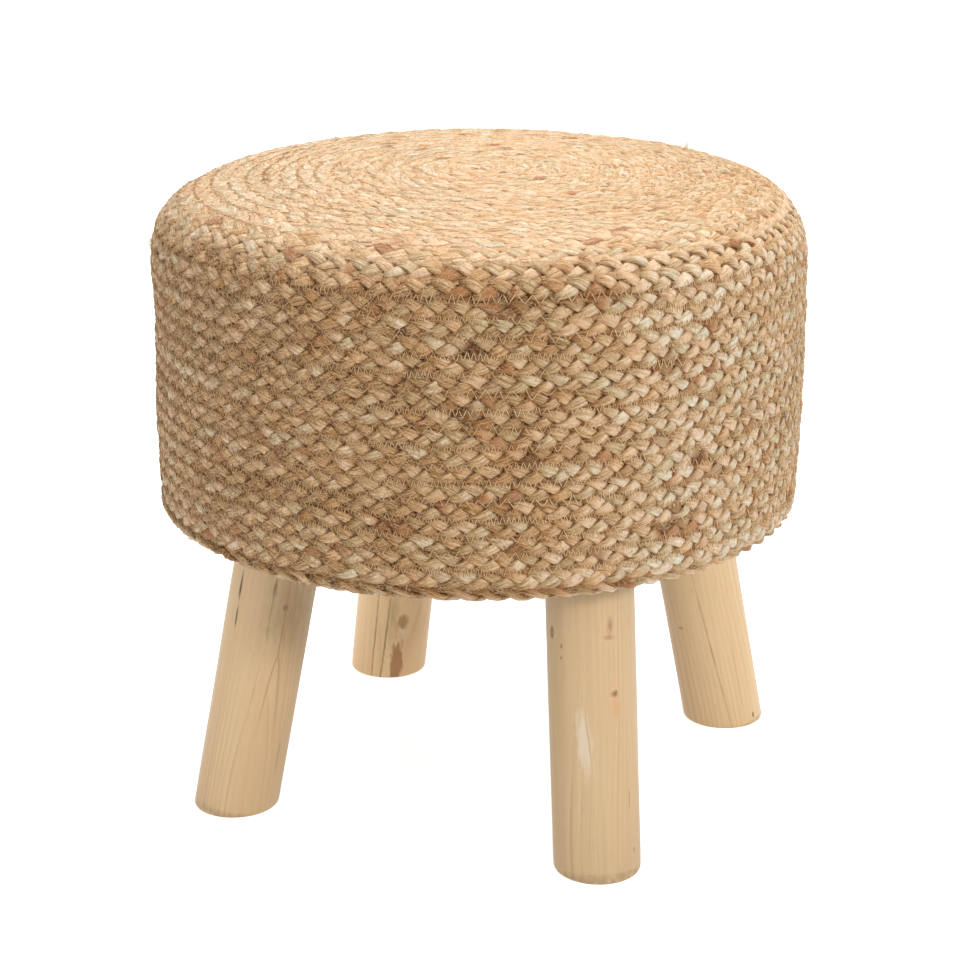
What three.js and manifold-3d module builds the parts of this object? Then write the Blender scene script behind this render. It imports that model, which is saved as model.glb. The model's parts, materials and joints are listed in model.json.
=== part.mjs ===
// A low round footstool: a padded drum covered in sewn jute braid, on four splayed round pine legs.
// Lengths are in millimetres and angles in degrees. +Z is up, the floor is at zero height, and the
// drum's axis is the Z axis.
import * as THREE from "three";
import { mergeVertices } from "three/addons/utils/BufferGeometryUtils.js";
import Module from "manifold-3d";

const wasm = await Module();
wasm.setup();

// Seat drum, measured over the crests of the braid
const totalHeight = 387;
const seatUndersideHeight = 180;
const seatTopRadius = 201;
const seatBottomRadius = 197;
const sideBulge = 1.1;
const crownRise = 6;
const shoulderRadius = 46.7;
const hemEdgeRadius = 6;
const hemWidth = 28;

// Jute braid, sewn row to row
const braidWidth = 10.3;
const braidThickness = 7.5;
const braidGroove = 2.2;
const seamMargin = 1;
const seamAngle = 50;

// Padding. The side padding is thicker at the top of the wall, because the drum flares upwards.
const foamThickness = 45;
const paddingThickness = 6;
const paddingTopThickness = 10;

// Frame inside the drum
const topBoardThickness = 12;
const baseBoardThickness = 15;
const wallThickness = 3;
const wallButtGap = 2;
const uprightWidth = 40;
const uprightDepth = 25;

// Legs: round poles, cut level at both ends
const legFootRadius = 25.7;
const legTopRadius = 26.2;
const legHemDistance = 9.8;
const footSpread = 38.8;
const legCircleOffsetX = 5.3;
const legCircleOffsetY = 4;
const footRimRadius = 2.5;
const legTopRimRadius = 0.8;

// Screws from the boards into the uprights
const uprightScrewLength = 45;
const uprightScrewRadius = 2.2;
const uprightScrewHeadRadius = 4.4;
const uprightScrewHeadHeight = 2.6;
const uprightScrewTipLength = 6;

// Coach screws from inside the frame down into the legs
const legScrewLength = 70;
const legScrewRadius = 4;
const legScrewTipLength = 9;
const legScrewHeadWidth = 13;
const legScrewHeadHeight = 5.3;
const washerRadius = 12;
const washerThickness = 1.6;

// Dust cover and the staples that hold it and the hem
const dustCoverLap = 11;
const dustCoverThickness = 0.8;
const dustHoleClearance = 0.8;
const stapleCrown = 10;
const stapleLegLength = 16;
const stapleWire = 1;
const stapleEdgeDistance = 6;

// Fits
const clearance = 0.3;
const cutOverrun = 1;

// Counts and steps
const roundSteps = 36;
const legSteps = 28;
const screwSteps = 12;
const washerSteps = 20;
const rimSteps = 2;
const uprightCount = 4;
const stapleCount = 12;

// Each leg stands near a diagonal. It was fitted by hand, so its top and its foot lie a degree or two
// round the seat from that diagonal.
const legs = [
  { side: "front_right", diagonal: -45, topTurn: 2.2, footTurn: -1.7 },
  { side: "back_right", diagonal: 45, topTurn: 0, footTurn: 0 },
  { side: "back_left", diagonal: 135, topTurn: -0.9, footTurn: 0.7 },
  { side: "front_left", diagonal: -135, topTurn: -0.8, footTurn: 0.6 },
];

// Heights and radii that follow from the sizes above
const shoulderCentreRadius = seatTopRadius - shoulderRadius;
const shoulderTilt = 2 * Math.atan(crownRise / shoulderCentreRadius);
const crownRadius = shoulderCentreRadius / Math.sin(shoulderTilt) + shoulderRadius;
const shoulderCentreHeight = totalHeight - crownRise - shoulderRadius;
const sideEndHeight = seatUndersideHeight + hemEdgeRadius;
const hemInnerRadius = seatBottomRadius - hemWidth;
const paddingDepth = braidThickness + clearance;
const baseBoardUnderside = seatUndersideHeight + paddingDepth;
const baseBoardTop = baseBoardUnderside + baseBoardThickness;
const foamUnderside = totalHeight - paddingDepth - foamThickness;
const topBoardTop = foamUnderside - clearance;
const topBoardUnderside = topBoardTop - topBoardThickness;
const wallFootRadius = seatBottomRadius - paddingDepth - paddingThickness - clearance;
const wallTopRadius = seatTopRadius - paddingDepth - paddingTopThickness - clearance;
const boardRadius = boardRadiusAt(baseBoardUnderside);
const narrowestBoardRadius = Math.min(boardRadiusAt(baseBoardTop), boardRadiusAt(topBoardUnderside));
const uprightReach = narrowestBoardRadius * Math.cos(Math.PI / roundSteps);
const uprightOuterFace = Math.sqrt(uprightReach ** 2 - (uprightWidth / 2) ** 2);
const uprightCentreRadius = uprightOuterFace - uprightDepth / 2;
const legTopHeight = baseBoardUnderside - clearance;
const legTopCircleRadius = hemInnerRadius - legHemDistance - legTopRadius;
const footCircleRadius = legTopCircleRadius + footSpread;
const dustCoverRadius = hemInnerRadius + dustCoverLap;
const dustCoverTop = seatUndersideHeight - clearance;
const dustCoverUnderside = dustCoverTop - dustCoverThickness;
const stapleRadius = boardRadius - stapleEdgeDistance;
const stapleCrownUnderside = dustCoverUnderside - clearance - stapleWire;

// The wall runs straight from its foot to its top, and the boards' edges lie along its inside.
function wallRadiusAt(height) {
  return THREE.MathUtils.mapLinear(height, baseBoardUnderside, topBoardTop, wallFootRadius, wallTopRadius);
}

function boardRadiusAt(height) {
  return wallRadiusAt(height) - wallThickness - clearance;
}

const radians = THREE.MathUtils.degToRad;

// Geometry and solids

function toSolid(geometry) {
  const bare = geometry.clone();
  bare.deleteAttribute("normal");
  bare.deleteAttribute("uv");
  const merged = mergeVertices(bare);
  return new wasm.Manifold(
    new wasm.Mesh({
      numProp: 3,
      vertProperties: merged.attributes.position.array,
      triVerts: new Uint32Array(merged.index.array),
    }),
  );
}

function toGeometry(solid) {
  const mesh = solid.getMesh();
  const geometry = new THREE.BufferGeometry();
  geometry.setAttribute("position", new THREE.BufferAttribute(mesh.vertProperties, 3));
  geometry.setIndex(new THREE.BufferAttribute(mesh.triVerts, 1));
  return geometry;
}

function cutFrom(geometry, tools) {
  return toGeometry(tools.reduce((solid, tool) => solid.subtract(toSolid(tool)), toSolid(geometry)));
}

// Spins an outline of [radius, height] points, listed anticlockwise, about the Z axis.
function lathe(outline, steps) {
  const points = outline.map(([radius, height]) => new THREE.Vector2(radius, height));
  return new THREE.LatheGeometry(points, steps).rotateX(Math.PI / 2);
}

function disc(radius, underside, top, steps) {
  return lathe([[0, underside], [radius, underside], [radius, top], [0, top]], steps);
}

function box(width, depth, underside, top) {
  const height = top - underside;
  return new THREE.BoxGeometry(width, depth, height).translate(0, 0, underside + height / 2);
}

// Moves a geometry from the axis to a place on a circle, turned to face outwards there.
function toCircle(geometry, radius, angle) {
  return geometry.translate(radius, 0, 0).rotateZ(angle);
}

function around(radius, angle, height) {
  return new THREE.Vector3(radius * Math.cos(angle), radius * Math.sin(angle), height);
}

// The drum's outline

// The crests' outline, from the middle of the top over the shoulder and down the side to the inner
// edge of the hem that is turned under.
function crestOutline() {
  const outline = new THREE.Path();
  const shoulderStart = Math.PI / 2 - shoulderTilt;
  outline.absarc(0, totalHeight - crownRadius, crownRadius, Math.PI / 2, shoulderStart, true);
  outline.absarc(shoulderCentreRadius, shoulderCentreHeight, shoulderRadius, shoulderStart, 0, true);
  outline.quadraticCurveTo(
    (seatTopRadius + seatBottomRadius) / 2 + 2 * sideBulge,
    (shoulderCentreHeight + sideEndHeight) / 2,
    seatBottomRadius,
    sideEndHeight,
  );
  outline.absarc(seatBottomRadius - hemEdgeRadius, sideEndHeight, hemEdgeRadius, 0, -Math.PI / 2, true);
  outline.lineTo(hemInnerRadius, seatUndersideHeight);
  return outline;
}

const crests = crestOutline();
const crestLength = crests.getLength();
const crownLength = crownRadius * shoulderTilt;
const seamLength = crownLength + shoulderRadius * (radians(seamAngle) - shoulderTilt);
const sideStartLength = crownLength + shoulderRadius * (Math.PI / 2 - shoulderTilt);

// A point of the cover, by its length along the outline, its depth below the crests and its angle.
function coverPoint(length, depth, angle) {
  const share = length / crestLength;
  const place = crests.getPoint(share);
  const along = crests.getTangent(share);
  return around(place.x + along.y * depth, angle, place.y - along.x * depth);
}

// Bends of the drum's outline at a depth, as [radius, height] points from the middle of the top down
// to the foot of the side. The backs of the covers and the padding share them, so they lie parallel.
const topBends = [0, crownLength / 2, crownLength, (crownLength + seamLength) / 2, seamLength];
const sideBends = [seamLength, (seamLength + sideStartLength) / 2, sideStartLength];

function bendAt(length, depth) {
  const { x, z } = coverPoint(length, depth, 0);
  return [x, z];
}

function sideBendPoints(depth) {
  const middleRadius = (seatTopRadius + seatBottomRadius) / 2 + sideBulge - depth;
  return [
    ...sideBends.map((length) => bendAt(length, depth)),
    [middleRadius, (shoulderCentreHeight + sideEndHeight) / 2],
    [seatBottomRadius - depth, seatUndersideHeight + depth],
  ];
}

function bendPoints(depth) {
  const top = topBends.slice(0, -1).map((length) => bendAt(length, depth));
  return [...top, ...sideBendPoints(depth)];
}

function radiusAt(height, depth) {
  const points = bendPoints(depth);
  const below = Math.max(1, points.findIndex(([, bendHeight]) => bendHeight <= height));
  const [[upperRadius, upper], [lowerRadius, lower]] = [points[below - 1], points[below]];
  return THREE.MathUtils.mapLinear(height, upper, lower, upperRadius, lowerRadius);
}

// The outline between two heights, from the lower to the higher.
function outlineBetween(low, high, depth) {
  const between = bendPoints(depth).filter(
    ([, height]) => height > low + clearance && height < high - clearance,
  );
  return [[radiusAt(low, depth), low], ...between.reverse(), [radiusAt(high, depth), high]];
}

// The sewn rows

// Closed skins are gathered as loose triangles, seen anticlockwise from outside.
function face(skin, ...corners) {
  for (let i = 2; i < corners.length; i += 1) {
    skin.push(corners[0], corners[i - 1], corners[i]);
  }
}

function band(skin, from, to) {
  for (let k = 0; k < roundSteps; k += 1) {
    face(skin, from(k), to(k), to(k + 1), from(k + 1));
  }
}

function skinGeometry(skin) {
  const geometry = new THREE.BufferGeometry().setFromPoints(skin);
  return toGeometry(toSolid(geometry));
}

function ringOf(radius, height) {
  return (k) => around(radius, stepAngle(k), height);
}

function stepAngle(k) {
  return ((k % roundSteps) * 2 * Math.PI) / roundSteps;
}

// Rows of braid along one unbroken spiral between two lengths of the outline. Each row has a groove
// line and a crest line, which run on into the next row after a full turn.
function spiralRows(startLength, endLength) {
  const rows = Math.round((endLength - startLength) / braidWidth) - 1;
  const pitch = (endLength - startLength) / (rows + 1);
  const turned = (row, k) => startLength + pitch * (row + k / roundSteps);
  return {
    rows,
    groove: (row, k) => coverPoint(turned(row, k), braidGroove, stepAngle(k)),
    crest: (row, k) => coverPoint(turned(row + 0.5, k), 0, stepAngle(k)),
  };
}

function sewRows(skin, { rows, groove, crest }) {
  for (let row = 0; row < rows; row += 1) {
    for (let k = 0; k < roundSteps; k += 1) {
      face(skin, groove(row, k), crest(row, k), crest(row, k + 1), groove(row, k + 1));
      face(skin, crest(row, k), groove(row + 1, k), groove(row + 1, k + 1), crest(row, k + 1));
    }
  }
}

// The first row's cut end, and the last row's.
function sewEnds(skin, { rows, groove, crest }) {
  face(skin, groove(0, 0), groove(0, roundSteps), crest(0, 0));
  face(skin, groove(rows, 0), crest(rows - 1, roundSteps), groove(rows, roundSteps));
}

// The wedge that makes the last turn of a spiral up to a level edge.
function sewLastTurn(skin, { rows, groove }, edge) {
  const last = groove(rows, roundSteps);
  face(skin, last, edge(0), edge(1), groove(rows, 1), groove(rows, 0));
  for (let k = 1; k < roundSteps; k += 1) {
    face(skin, groove(rows, k), edge(k), edge(k + 1), groove(rows, k + 1));
  }
}

// The wedge between a level edge and the first turn of a spiral.
function sewFirstTurn(skin, { groove }, edge) {
  const end = roundSteps - 1;
  for (let k = 0; k < end; k += 1) {
    face(skin, edge(k), groove(0, k), groove(0, k + 1), edge(k + 1));
  }
  face(skin, groove(0, end), groove(0, roundSteps), groove(0, 0), edge(roundSteps), edge(end));
}

function coverRing(length, depth) {
  return (k) => coverPoint(length, depth, stepAngle(k));
}

// The top cover: a spiral from the middle to the seam on the shoulder, and its smooth back.
function coverTopGeometry() {
  const skin = [];
  const edgeLength = seamLength - clearance / 2;
  const spiral = spiralRows(0, edgeLength - seamMargin);
  const middle = spiral.groove(0, 0);
  for (let k = 1; k < roundSteps; k += 1) {
    face(skin, middle, spiral.groove(0, k), spiral.groove(0, k + 1));
  }
  sewRows(skin, spiral);
  sewEnds(skin, spiral);
  const edge = coverRing(edgeLength, braidGroove);
  sewLastTurn(skin, spiral, edge);
  const backLengths = [edgeLength, ...topBends.slice(1, -1).reverse()];
  const back = backLengths.map((length) => coverRing(length, braidThickness));
  band(skin, edge, back[0]);
  for (let i = 1; i < back.length; i += 1) {
    band(skin, back[i - 1], back[i]);
  }
  const innermost = back[back.length - 1];
  const backMiddle = coverPoint(0, braidThickness, 0);
  for (let k = 0; k < roundSteps; k += 1) {
    face(skin, innermost(k), backMiddle, innermost(k + 1));
  }
  console.log(`top cover: ${spiral.rows + 1} turns of braid in one spiral`);
  return skinGeometry(skin);
}

// The side cover: a helix from the seam down the side and under the base, and its smooth back.
function coverSideGeometry() {
  const skin = [];
  const edgeLength = seamLength + clearance / 2;
  const spiral = spiralRows(edgeLength + seamMargin, crestLength - seamMargin);
  const upperEdge = coverRing(edgeLength, braidGroove);
  const lowerEdge = coverRing(crestLength, braidGroove);
  sewFirstTurn(skin, spiral, upperEdge);
  sewRows(skin, spiral);
  sewEnds(skin, spiral);
  sewLastTurn(skin, spiral, lowerEdge);
  const hemBack = seatUndersideHeight + braidThickness;
  const sideBack = sideBendPoints(braidThickness).slice(1).reverse();
  const back = [
    ringOf(hemInnerRadius, hemBack),
    ...sideBack.map(([radius, height]) => ringOf(radius, height)),
    coverRing(edgeLength, braidThickness),
  ];
  band(skin, lowerEdge, back[0]);
  for (let i = 1; i < back.length; i += 1) {
    band(skin, back[i - 1], back[i]);
  }
  band(skin, back[back.length - 1], upperEdge);
  console.log(`side cover: ${spiral.rows + 1} turns of braid in one helix`);
  return cutFrom(skinGeometry(skin), stapleSlots());
}

// Padding

function seatFoamGeometry() {
  const top = totalHeight - paddingDepth;
  return lathe([[0, foamUnderside], ...outlineBetween(foamUnderside, top, paddingDepth)], roundSteps);
}

function sidePaddingGeometry() {
  const outside = outlineBetween(baseBoardUnderside, topBoardTop, paddingDepth);
  const inside = [
    [wallTopRadius + clearance, topBoardTop],
    [wallFootRadius + clearance, baseBoardUnderside],
  ];
  return lathe([inside[1], ...outside, ...inside], roundSteps);
}

// Frame

// A thin sheet bent into a ring, with its butt joint at the back.
function wallSheetGeometry() {
  const ring = lathe(
    [
      [wallFootRadius - wallThickness, baseBoardUnderside],
      [wallFootRadius, baseBoardUnderside],
      [wallTopRadius, topBoardTop],
      [wallTopRadius - wallThickness, topBoardTop],
      [wallFootRadius - wallThickness, baseBoardUnderside],
    ],
    roundSteps,
  );
  const slotDepth = Math.abs(wallTopRadius - wallFootRadius) + 2 * (wallThickness + cutOverrun);
  const slot = box(slotDepth, wallButtGap, baseBoardUnderside - cutOverrun, topBoardTop + cutOverrun);
  return cutFrom(ring, [toCircle(slot, (wallFootRadius + wallTopRadius) / 2, Math.PI / 2)]);
}

// A countersunk screw that points up, with its head's face at a height. Grown by the clearance, it is
// the tool that cuts its own hole.
function countersunkScrew(headFace, grow) {
  const tip = headFace + uprightScrewLength + grow;
  const shankStart = headFace + uprightScrewHeadHeight;
  const shankRadius = uprightScrewRadius + grow;
  const headRadius = uprightScrewHeadRadius + grow;
  const recess = grow > 0 ? [[headRadius, headFace - grow]] : [];
  return lathe(
    [
      [0, headFace - grow],
      ...recess,
      [headRadius, headFace],
      [shankRadius, shankStart],
      [shankRadius, tip - uprightScrewTipLength],
      [0, tip],
    ],
    screwSteps,
  );
}

function uprightAngle(i) {
  return (i * 2 * Math.PI) / uprightCount;
}

function uprightScrewUp(i, grow) {
  const screw = countersunkScrew(baseBoardUnderside, grow);
  return toCircle(screw, uprightCentreRadius, uprightAngle(i));
}

function uprightScrewDown(i, grow) {
  const screw = countersunkScrew(-topBoardTop, grow).rotateX(Math.PI);
  return toCircle(screw, uprightCentreRadius, uprightAngle(i));
}

function uprightGeometry(i) {
  const post = box(
    uprightDepth,
    uprightWidth,
    baseBoardTop + clearance,
    topBoardUnderside - clearance,
  );
  const placed = toCircle(post, uprightCentreRadius, uprightAngle(i));
  return cutFrom(placed, [uprightScrewUp(i, clearance), uprightScrewDown(i, clearance)]);
}

const uprightNumbers = Array.from({ length: uprightCount }, (_, i) => i);

function boardGeometry(underside, top) {
  const edge = [underside, top].map((height) => [boardRadiusAt(height), height]);
  return lathe([[0, underside], ...edge, [0, top]], roundSteps);
}

function topBoardGeometry() {
  const board = boardGeometry(topBoardUnderside, topBoardTop);
  return cutFrom(board, uprightNumbers.map((i) => uprightScrewDown(i, clearance)));
}

function baseBoardGeometry() {
  const board = boardGeometry(baseBoardUnderside, baseBoardTop);
  return cutFrom(board, [
    ...uprightNumbers.map((i) => uprightScrewUp(i, clearance)),
    ...legs.map((leg) => legScrewHole(leg)),
    ...stapleSlots(),
  ]);
}

// Legs

// Where the leg's axis meets the floor and the base board.
function legEnds({ diagonal, topTurn, footTurn }) {
  const offset = new THREE.Vector3(legCircleOffsetX, legCircleOffsetY, 0);
  const foot = around(footCircleRadius, radians(diagonal + footTurn), 0).add(offset);
  const top = around(legTopCircleRadius, radians(diagonal + topTurn), legTopHeight).add(offset);
  return { foot, top };
}

// A quarter round of a rim, as [radius, height] offsets from its corner, from the end face outwards.
function rimOffsets(radius) {
  return Array.from({ length: rimSteps + 1 }, (_, i) => {
    const angle = (i * Math.PI) / 2 / rimSteps;
    return [radius * (Math.sin(angle) - 1), radius * (1 - Math.cos(angle))];
  });
}

// A slanting pole has an oval level section, so an upright pole is widened along the lean and then
// sheared, which keeps both end faces level.
function legGeometry(leg) {
  const { foot, top } = legEnds(leg);
  const leanX = (foot.x - top.x) / legTopHeight;
  const leanY = (foot.y - top.y) / legTopHeight;
  const footRim = rimOffsets(footRimRadius).map(([out, up]) => [legFootRadius + out, up]);
  const topRim = rimOffsets(legTopRimRadius).map(([out, down]) => [
    legTopRadius + out,
    legTopHeight - down,
  ]);
  const pole = lathe([[0, 0], ...footRim, ...topRim.reverse(), [0, legTopHeight]], legSteps);
  const widening = Math.hypot(1, leanX, leanY);
  pole.scale(widening, 1, 1);
  pole.rotateZ(Math.atan2(leanY, leanX));
  pole.applyMatrix4(new THREE.Matrix4().set(1, 0, -leanX, 0, 0, 1, -leanY, 0, 0, 0, 1, 0, 0, 0, 0, 1));
  pole.translate(foot.x, foot.y, 0);
  return cutFrom(pole, [legScrewHole(leg)]);
}

const washerUnderside = baseBoardTop + clearance;
const legScrewHeadUnderside = washerUnderside + washerThickness + clearance;

function legScrewGeometry(leg) {
  const { top } = legEnds(leg);
  const tip = legScrewHeadUnderside - legScrewLength;
  const shank = lathe(
    [
      [0, tip],
      [legScrewRadius, tip + legScrewTipLength],
      [legScrewRadius, legScrewHeadUnderside + legScrewHeadHeight / 2],
      [0, legScrewHeadUnderside + legScrewHeadHeight / 2],
    ],
    screwSteps,
  );
  const headTop = legScrewHeadUnderside + legScrewHeadHeight;
  const head = disc(legScrewHeadWidth / Math.sqrt(3), legScrewHeadUnderside, headTop, 6);
  return toGeometry(toSolid(shank).add(toSolid(head))).translate(top.x, top.y, 0);
}

function legScrewHole(leg) {
  const { top } = legEnds(leg);
  const radius = legScrewRadius + clearance;
  const bottom = legScrewHeadUnderside - legScrewLength - clearance;
  return disc(radius, bottom, baseBoardTop + cutOverrun, screwSteps).translate(top.x, top.y, 0);
}

function legWasherGeometry(leg) {
  const { top } = legEnds(leg);
  const holeRadius = legScrewRadius + clearance;
  const washerTop = washerUnderside + washerThickness;
  return lathe(
    [
      [holeRadius, washerUnderside],
      [washerRadius, washerUnderside],
      [washerRadius, washerTop],
      [holeRadius, washerTop],
      [holeRadius, washerUnderside],
    ],
    washerSteps,
  ).translate(top.x, top.y, 0);
}

// Dust cover and staples

function stapleAngle(i) {
  return ((i + 0.5) * 2 * Math.PI) / stapleCount;
}

// One slit for each staple, through the hem and into the base board.
function stapleSlots() {
  const bottom = dustCoverUnderside - cutOverrun;
  const top = stapleCrownUnderside + stapleLegLength + clearance;
  return Array.from({ length: stapleCount }, (_, i) => {
    const slit = box(stapleWire + 2 * clearance, stapleCrown + 2 * clearance, bottom, top);
    return toCircle(slit, stapleRadius, stapleAngle(i));
  });
}

function stapleGeometry(i) {
  const half = stapleCrown / 2;
  const outline = new THREE.Shape([
    new THREE.Vector2(-half, 0),
    new THREE.Vector2(half, 0),
    new THREE.Vector2(half, stapleLegLength),
    new THREE.Vector2(half - stapleWire, stapleLegLength),
    new THREE.Vector2(half - stapleWire, stapleWire),
    new THREE.Vector2(stapleWire - half, stapleWire),
    new THREE.Vector2(stapleWire - half, stapleLegLength),
    new THREE.Vector2(-half, stapleLegLength),
  ]);
  const staple = new THREE.ExtrudeGeometry(outline, { depth: stapleWire, bevelEnabled: false });
  staple.translate(0, stapleCrownUnderside, -stapleWire / 2);
  staple.rotateX(Math.PI / 2).rotateZ(Math.PI / 2);
  return toCircle(staple, stapleRadius, stapleAngle(i));
}

// A thin disc with an oval hole round each leg.
function dustCoverGeometry() {
  const sheet = disc(dustCoverRadius, dustCoverUnderside, dustCoverTop, roundSteps);
  const bottom = dustCoverUnderside - cutOverrun;
  const top = dustCoverTop + cutOverrun;
  const holes = legs.map((leg) => {
    const ends = legEnds(leg);
    const lean = ends.foot.clone().sub(ends.top).setZ(0);
    const middle = ends.foot.clone().lerp(ends.top, dustCoverTop / legTopHeight);
    const radius = legTopRadius + dustHoleClearance;
    const hole = disc(radius, bottom, top, legSteps);
    hole.scale(Math.hypot(lean.length(), legTopHeight) / legTopHeight, 1, 1);
    return hole.rotateZ(Math.atan2(lean.y, lean.x)).translate(middle.x, middle.y, 0);
  });
  return cutFrom(sheet, [...holes, ...stapleSlots()]);
}

// Materials

const looks = {
  juteBraid: { color: 0xb78f5c, roughness: 0.9, metalness: 0 },
  foam: { color: 0xe9dfc4, roughness: 1, metalness: 0 },
  padding: { color: 0xdcdad2, roughness: 1, metalness: 0 },
  plywood: { color: 0xc7a671, roughness: 0.75, metalness: 0 },
  wallSheet: { color: 0x8c6b45, roughness: 0.8, metalness: 0 },
  pine: { color: 0xe0bf8c, roughness: 0.6, metalness: 0 },
  dustCloth: { color: 0x24221f, roughness: 0.95, metalness: 0 },
  zincSteel: { color: 0xb9bcc0, roughness: 0.35, metalness: 1 },
  stapleSteel: { color: 0xa7a9ad, roughness: 0.4, metalness: 1 },
};

// The stool

const stool = new THREE.Group();

function addPiece(name, geometry, look) {
  const piece = new THREE.Mesh(geometry, new THREE.MeshStandardMaterial(look));
  piece.name = name;
  stool.add(piece);
}

addPiece("jute_cover_top", coverTopGeometry(), looks.juteBraid);
addPiece("jute_cover_side", coverSideGeometry(), looks.juteBraid);
addPiece("seat_foam", seatFoamGeometry(), looks.foam);
addPiece("side_padding", sidePaddingGeometry(), looks.padding);
addPiece("top_board", topBoardGeometry(), looks.plywood);
addPiece("base_board", baseBoardGeometry(), looks.plywood);
addPiece("wall_sheet", wallSheetGeometry(), looks.wallSheet);
for (const i of uprightNumbers) {
  addPiece(`upright_${i + 1}`, uprightGeometry(i), looks.pine);
  addPiece(`upright_screw_base_${i + 1}`, uprightScrewUp(i, 0), looks.zincSteel);
  addPiece(`upright_screw_top_${i + 1}`, uprightScrewDown(i, 0), looks.zincSteel);
}
for (const leg of legs) {
  addPiece(`leg_${leg.side}`, legGeometry(leg), looks.pine);
  addPiece(`leg_screw_${leg.side}`, legScrewGeometry(leg), looks.zincSteel);
  addPiece(`leg_washer_${leg.side}`, legWasherGeometry(leg), looks.zincSteel);
}
addPiece("dust_cover", dustCoverGeometry(), looks.dustCloth);
for (let i = 0; i < stapleCount; i += 1) {
  addPiece(`staple_${String(i + 1).padStart(2, "0")}`, stapleGeometry(i), looks.stapleSteel);
}

export default stool;
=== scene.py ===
# %% [markdown]
# # A round footstool in sewn jute braid
#
# The stool is a padded drum on four splayed pine legs. The drum is covered all over with one flat,
# three-strand jute braid, wound round and round and sewn edge to edge with a fine zigzag thread.
#
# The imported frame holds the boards, screws and staples at their real size. This script lays the
# braid, the thread and the loose fibres round that frame, turns the legs and gives every surface
# its finish. Lengths are in metres, +Z is up and the feet stand at zero height.

# %% The frame
import json
import math

import bpy
import numpy as np
from mathutils import Matrix, Vector

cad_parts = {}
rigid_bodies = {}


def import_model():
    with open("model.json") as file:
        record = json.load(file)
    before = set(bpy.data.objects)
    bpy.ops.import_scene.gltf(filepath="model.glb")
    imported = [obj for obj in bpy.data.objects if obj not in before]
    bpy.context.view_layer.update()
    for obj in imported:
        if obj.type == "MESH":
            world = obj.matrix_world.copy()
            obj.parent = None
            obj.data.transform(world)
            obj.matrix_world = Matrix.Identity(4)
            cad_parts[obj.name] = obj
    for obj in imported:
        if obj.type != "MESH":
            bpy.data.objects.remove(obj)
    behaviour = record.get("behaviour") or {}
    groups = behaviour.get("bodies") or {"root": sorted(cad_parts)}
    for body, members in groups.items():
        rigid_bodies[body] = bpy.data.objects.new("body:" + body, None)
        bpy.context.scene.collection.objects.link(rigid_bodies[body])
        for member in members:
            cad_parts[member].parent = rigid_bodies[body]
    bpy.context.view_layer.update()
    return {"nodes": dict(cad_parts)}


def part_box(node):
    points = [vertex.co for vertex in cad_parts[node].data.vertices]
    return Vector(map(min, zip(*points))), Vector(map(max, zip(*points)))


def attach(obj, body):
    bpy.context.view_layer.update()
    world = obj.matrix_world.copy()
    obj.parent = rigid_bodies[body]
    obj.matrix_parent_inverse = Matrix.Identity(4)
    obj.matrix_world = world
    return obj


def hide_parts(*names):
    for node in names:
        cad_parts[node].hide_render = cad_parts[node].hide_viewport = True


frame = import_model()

BODY = "root"
MM = 0.001

# %% [markdown]
# ## Camera
#
# A product photograph like this one is taken from a few steps back with a long lens, so that the
# legs hardly converge. The camera circles the middle of the stool: an azimuth of nothing would look
# straight at the front, and a small one shows the front right leg nearly face on. The shift is only
# the pixel or three by which the photograph's frame is off centre.

# %% Camera
CAMERA_AZIMUTH = math.radians(21.65)
CAMERA_ELEVATION = math.radians(17.87)
CAMERA_DISTANCE = 1.6364
CAMERA_TARGET = Vector((0, 0, 0.19))
LENS = 98.25
SENSOR = 36
IMAGE_SIDE = 960
TARGET_PIXEL = (478.7, 477.0)

camera_level = Vector((math.sin(CAMERA_AZIMUTH), -math.cos(CAMERA_AZIMUTH), 0))
camera_back = camera_level * math.cos(CAMERA_ELEVATION) + Vector((0, 0, math.sin(CAMERA_ELEVATION)))
camera_data = bpy.data.cameras.new("camera")
camera_data.lens = LENS
camera_data.sensor_width = SENSOR
camera_data.shift_x = (IMAGE_SIDE / 2 - TARGET_PIXEL[0]) / IMAGE_SIDE
camera_data.shift_y = (TARGET_PIXEL[1] - IMAGE_SIDE / 2) / IMAGE_SIDE
camera = bpy.data.objects.new("camera", camera_data)
bpy.context.scene.collection.objects.link(camera)
camera.location = CAMERA_TARGET + camera_back * CAMERA_DISTANCE
camera.rotation_euler = (-camera_back).to_track_quat("-Z", "Y").to_euler()
bpy.context.scene.camera = camera
print("camera at", [round(x, 3) for x in camera.location])

# %% [markdown]
# ## Material helper
#
# Every finish here is a small graph of nodes. A recipe holds the graph while it is being written, so
# that a node is one line: its kind, the settings it has, and what goes into each of its sockets. A
# socket takes either a plain value or another node's output.


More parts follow.
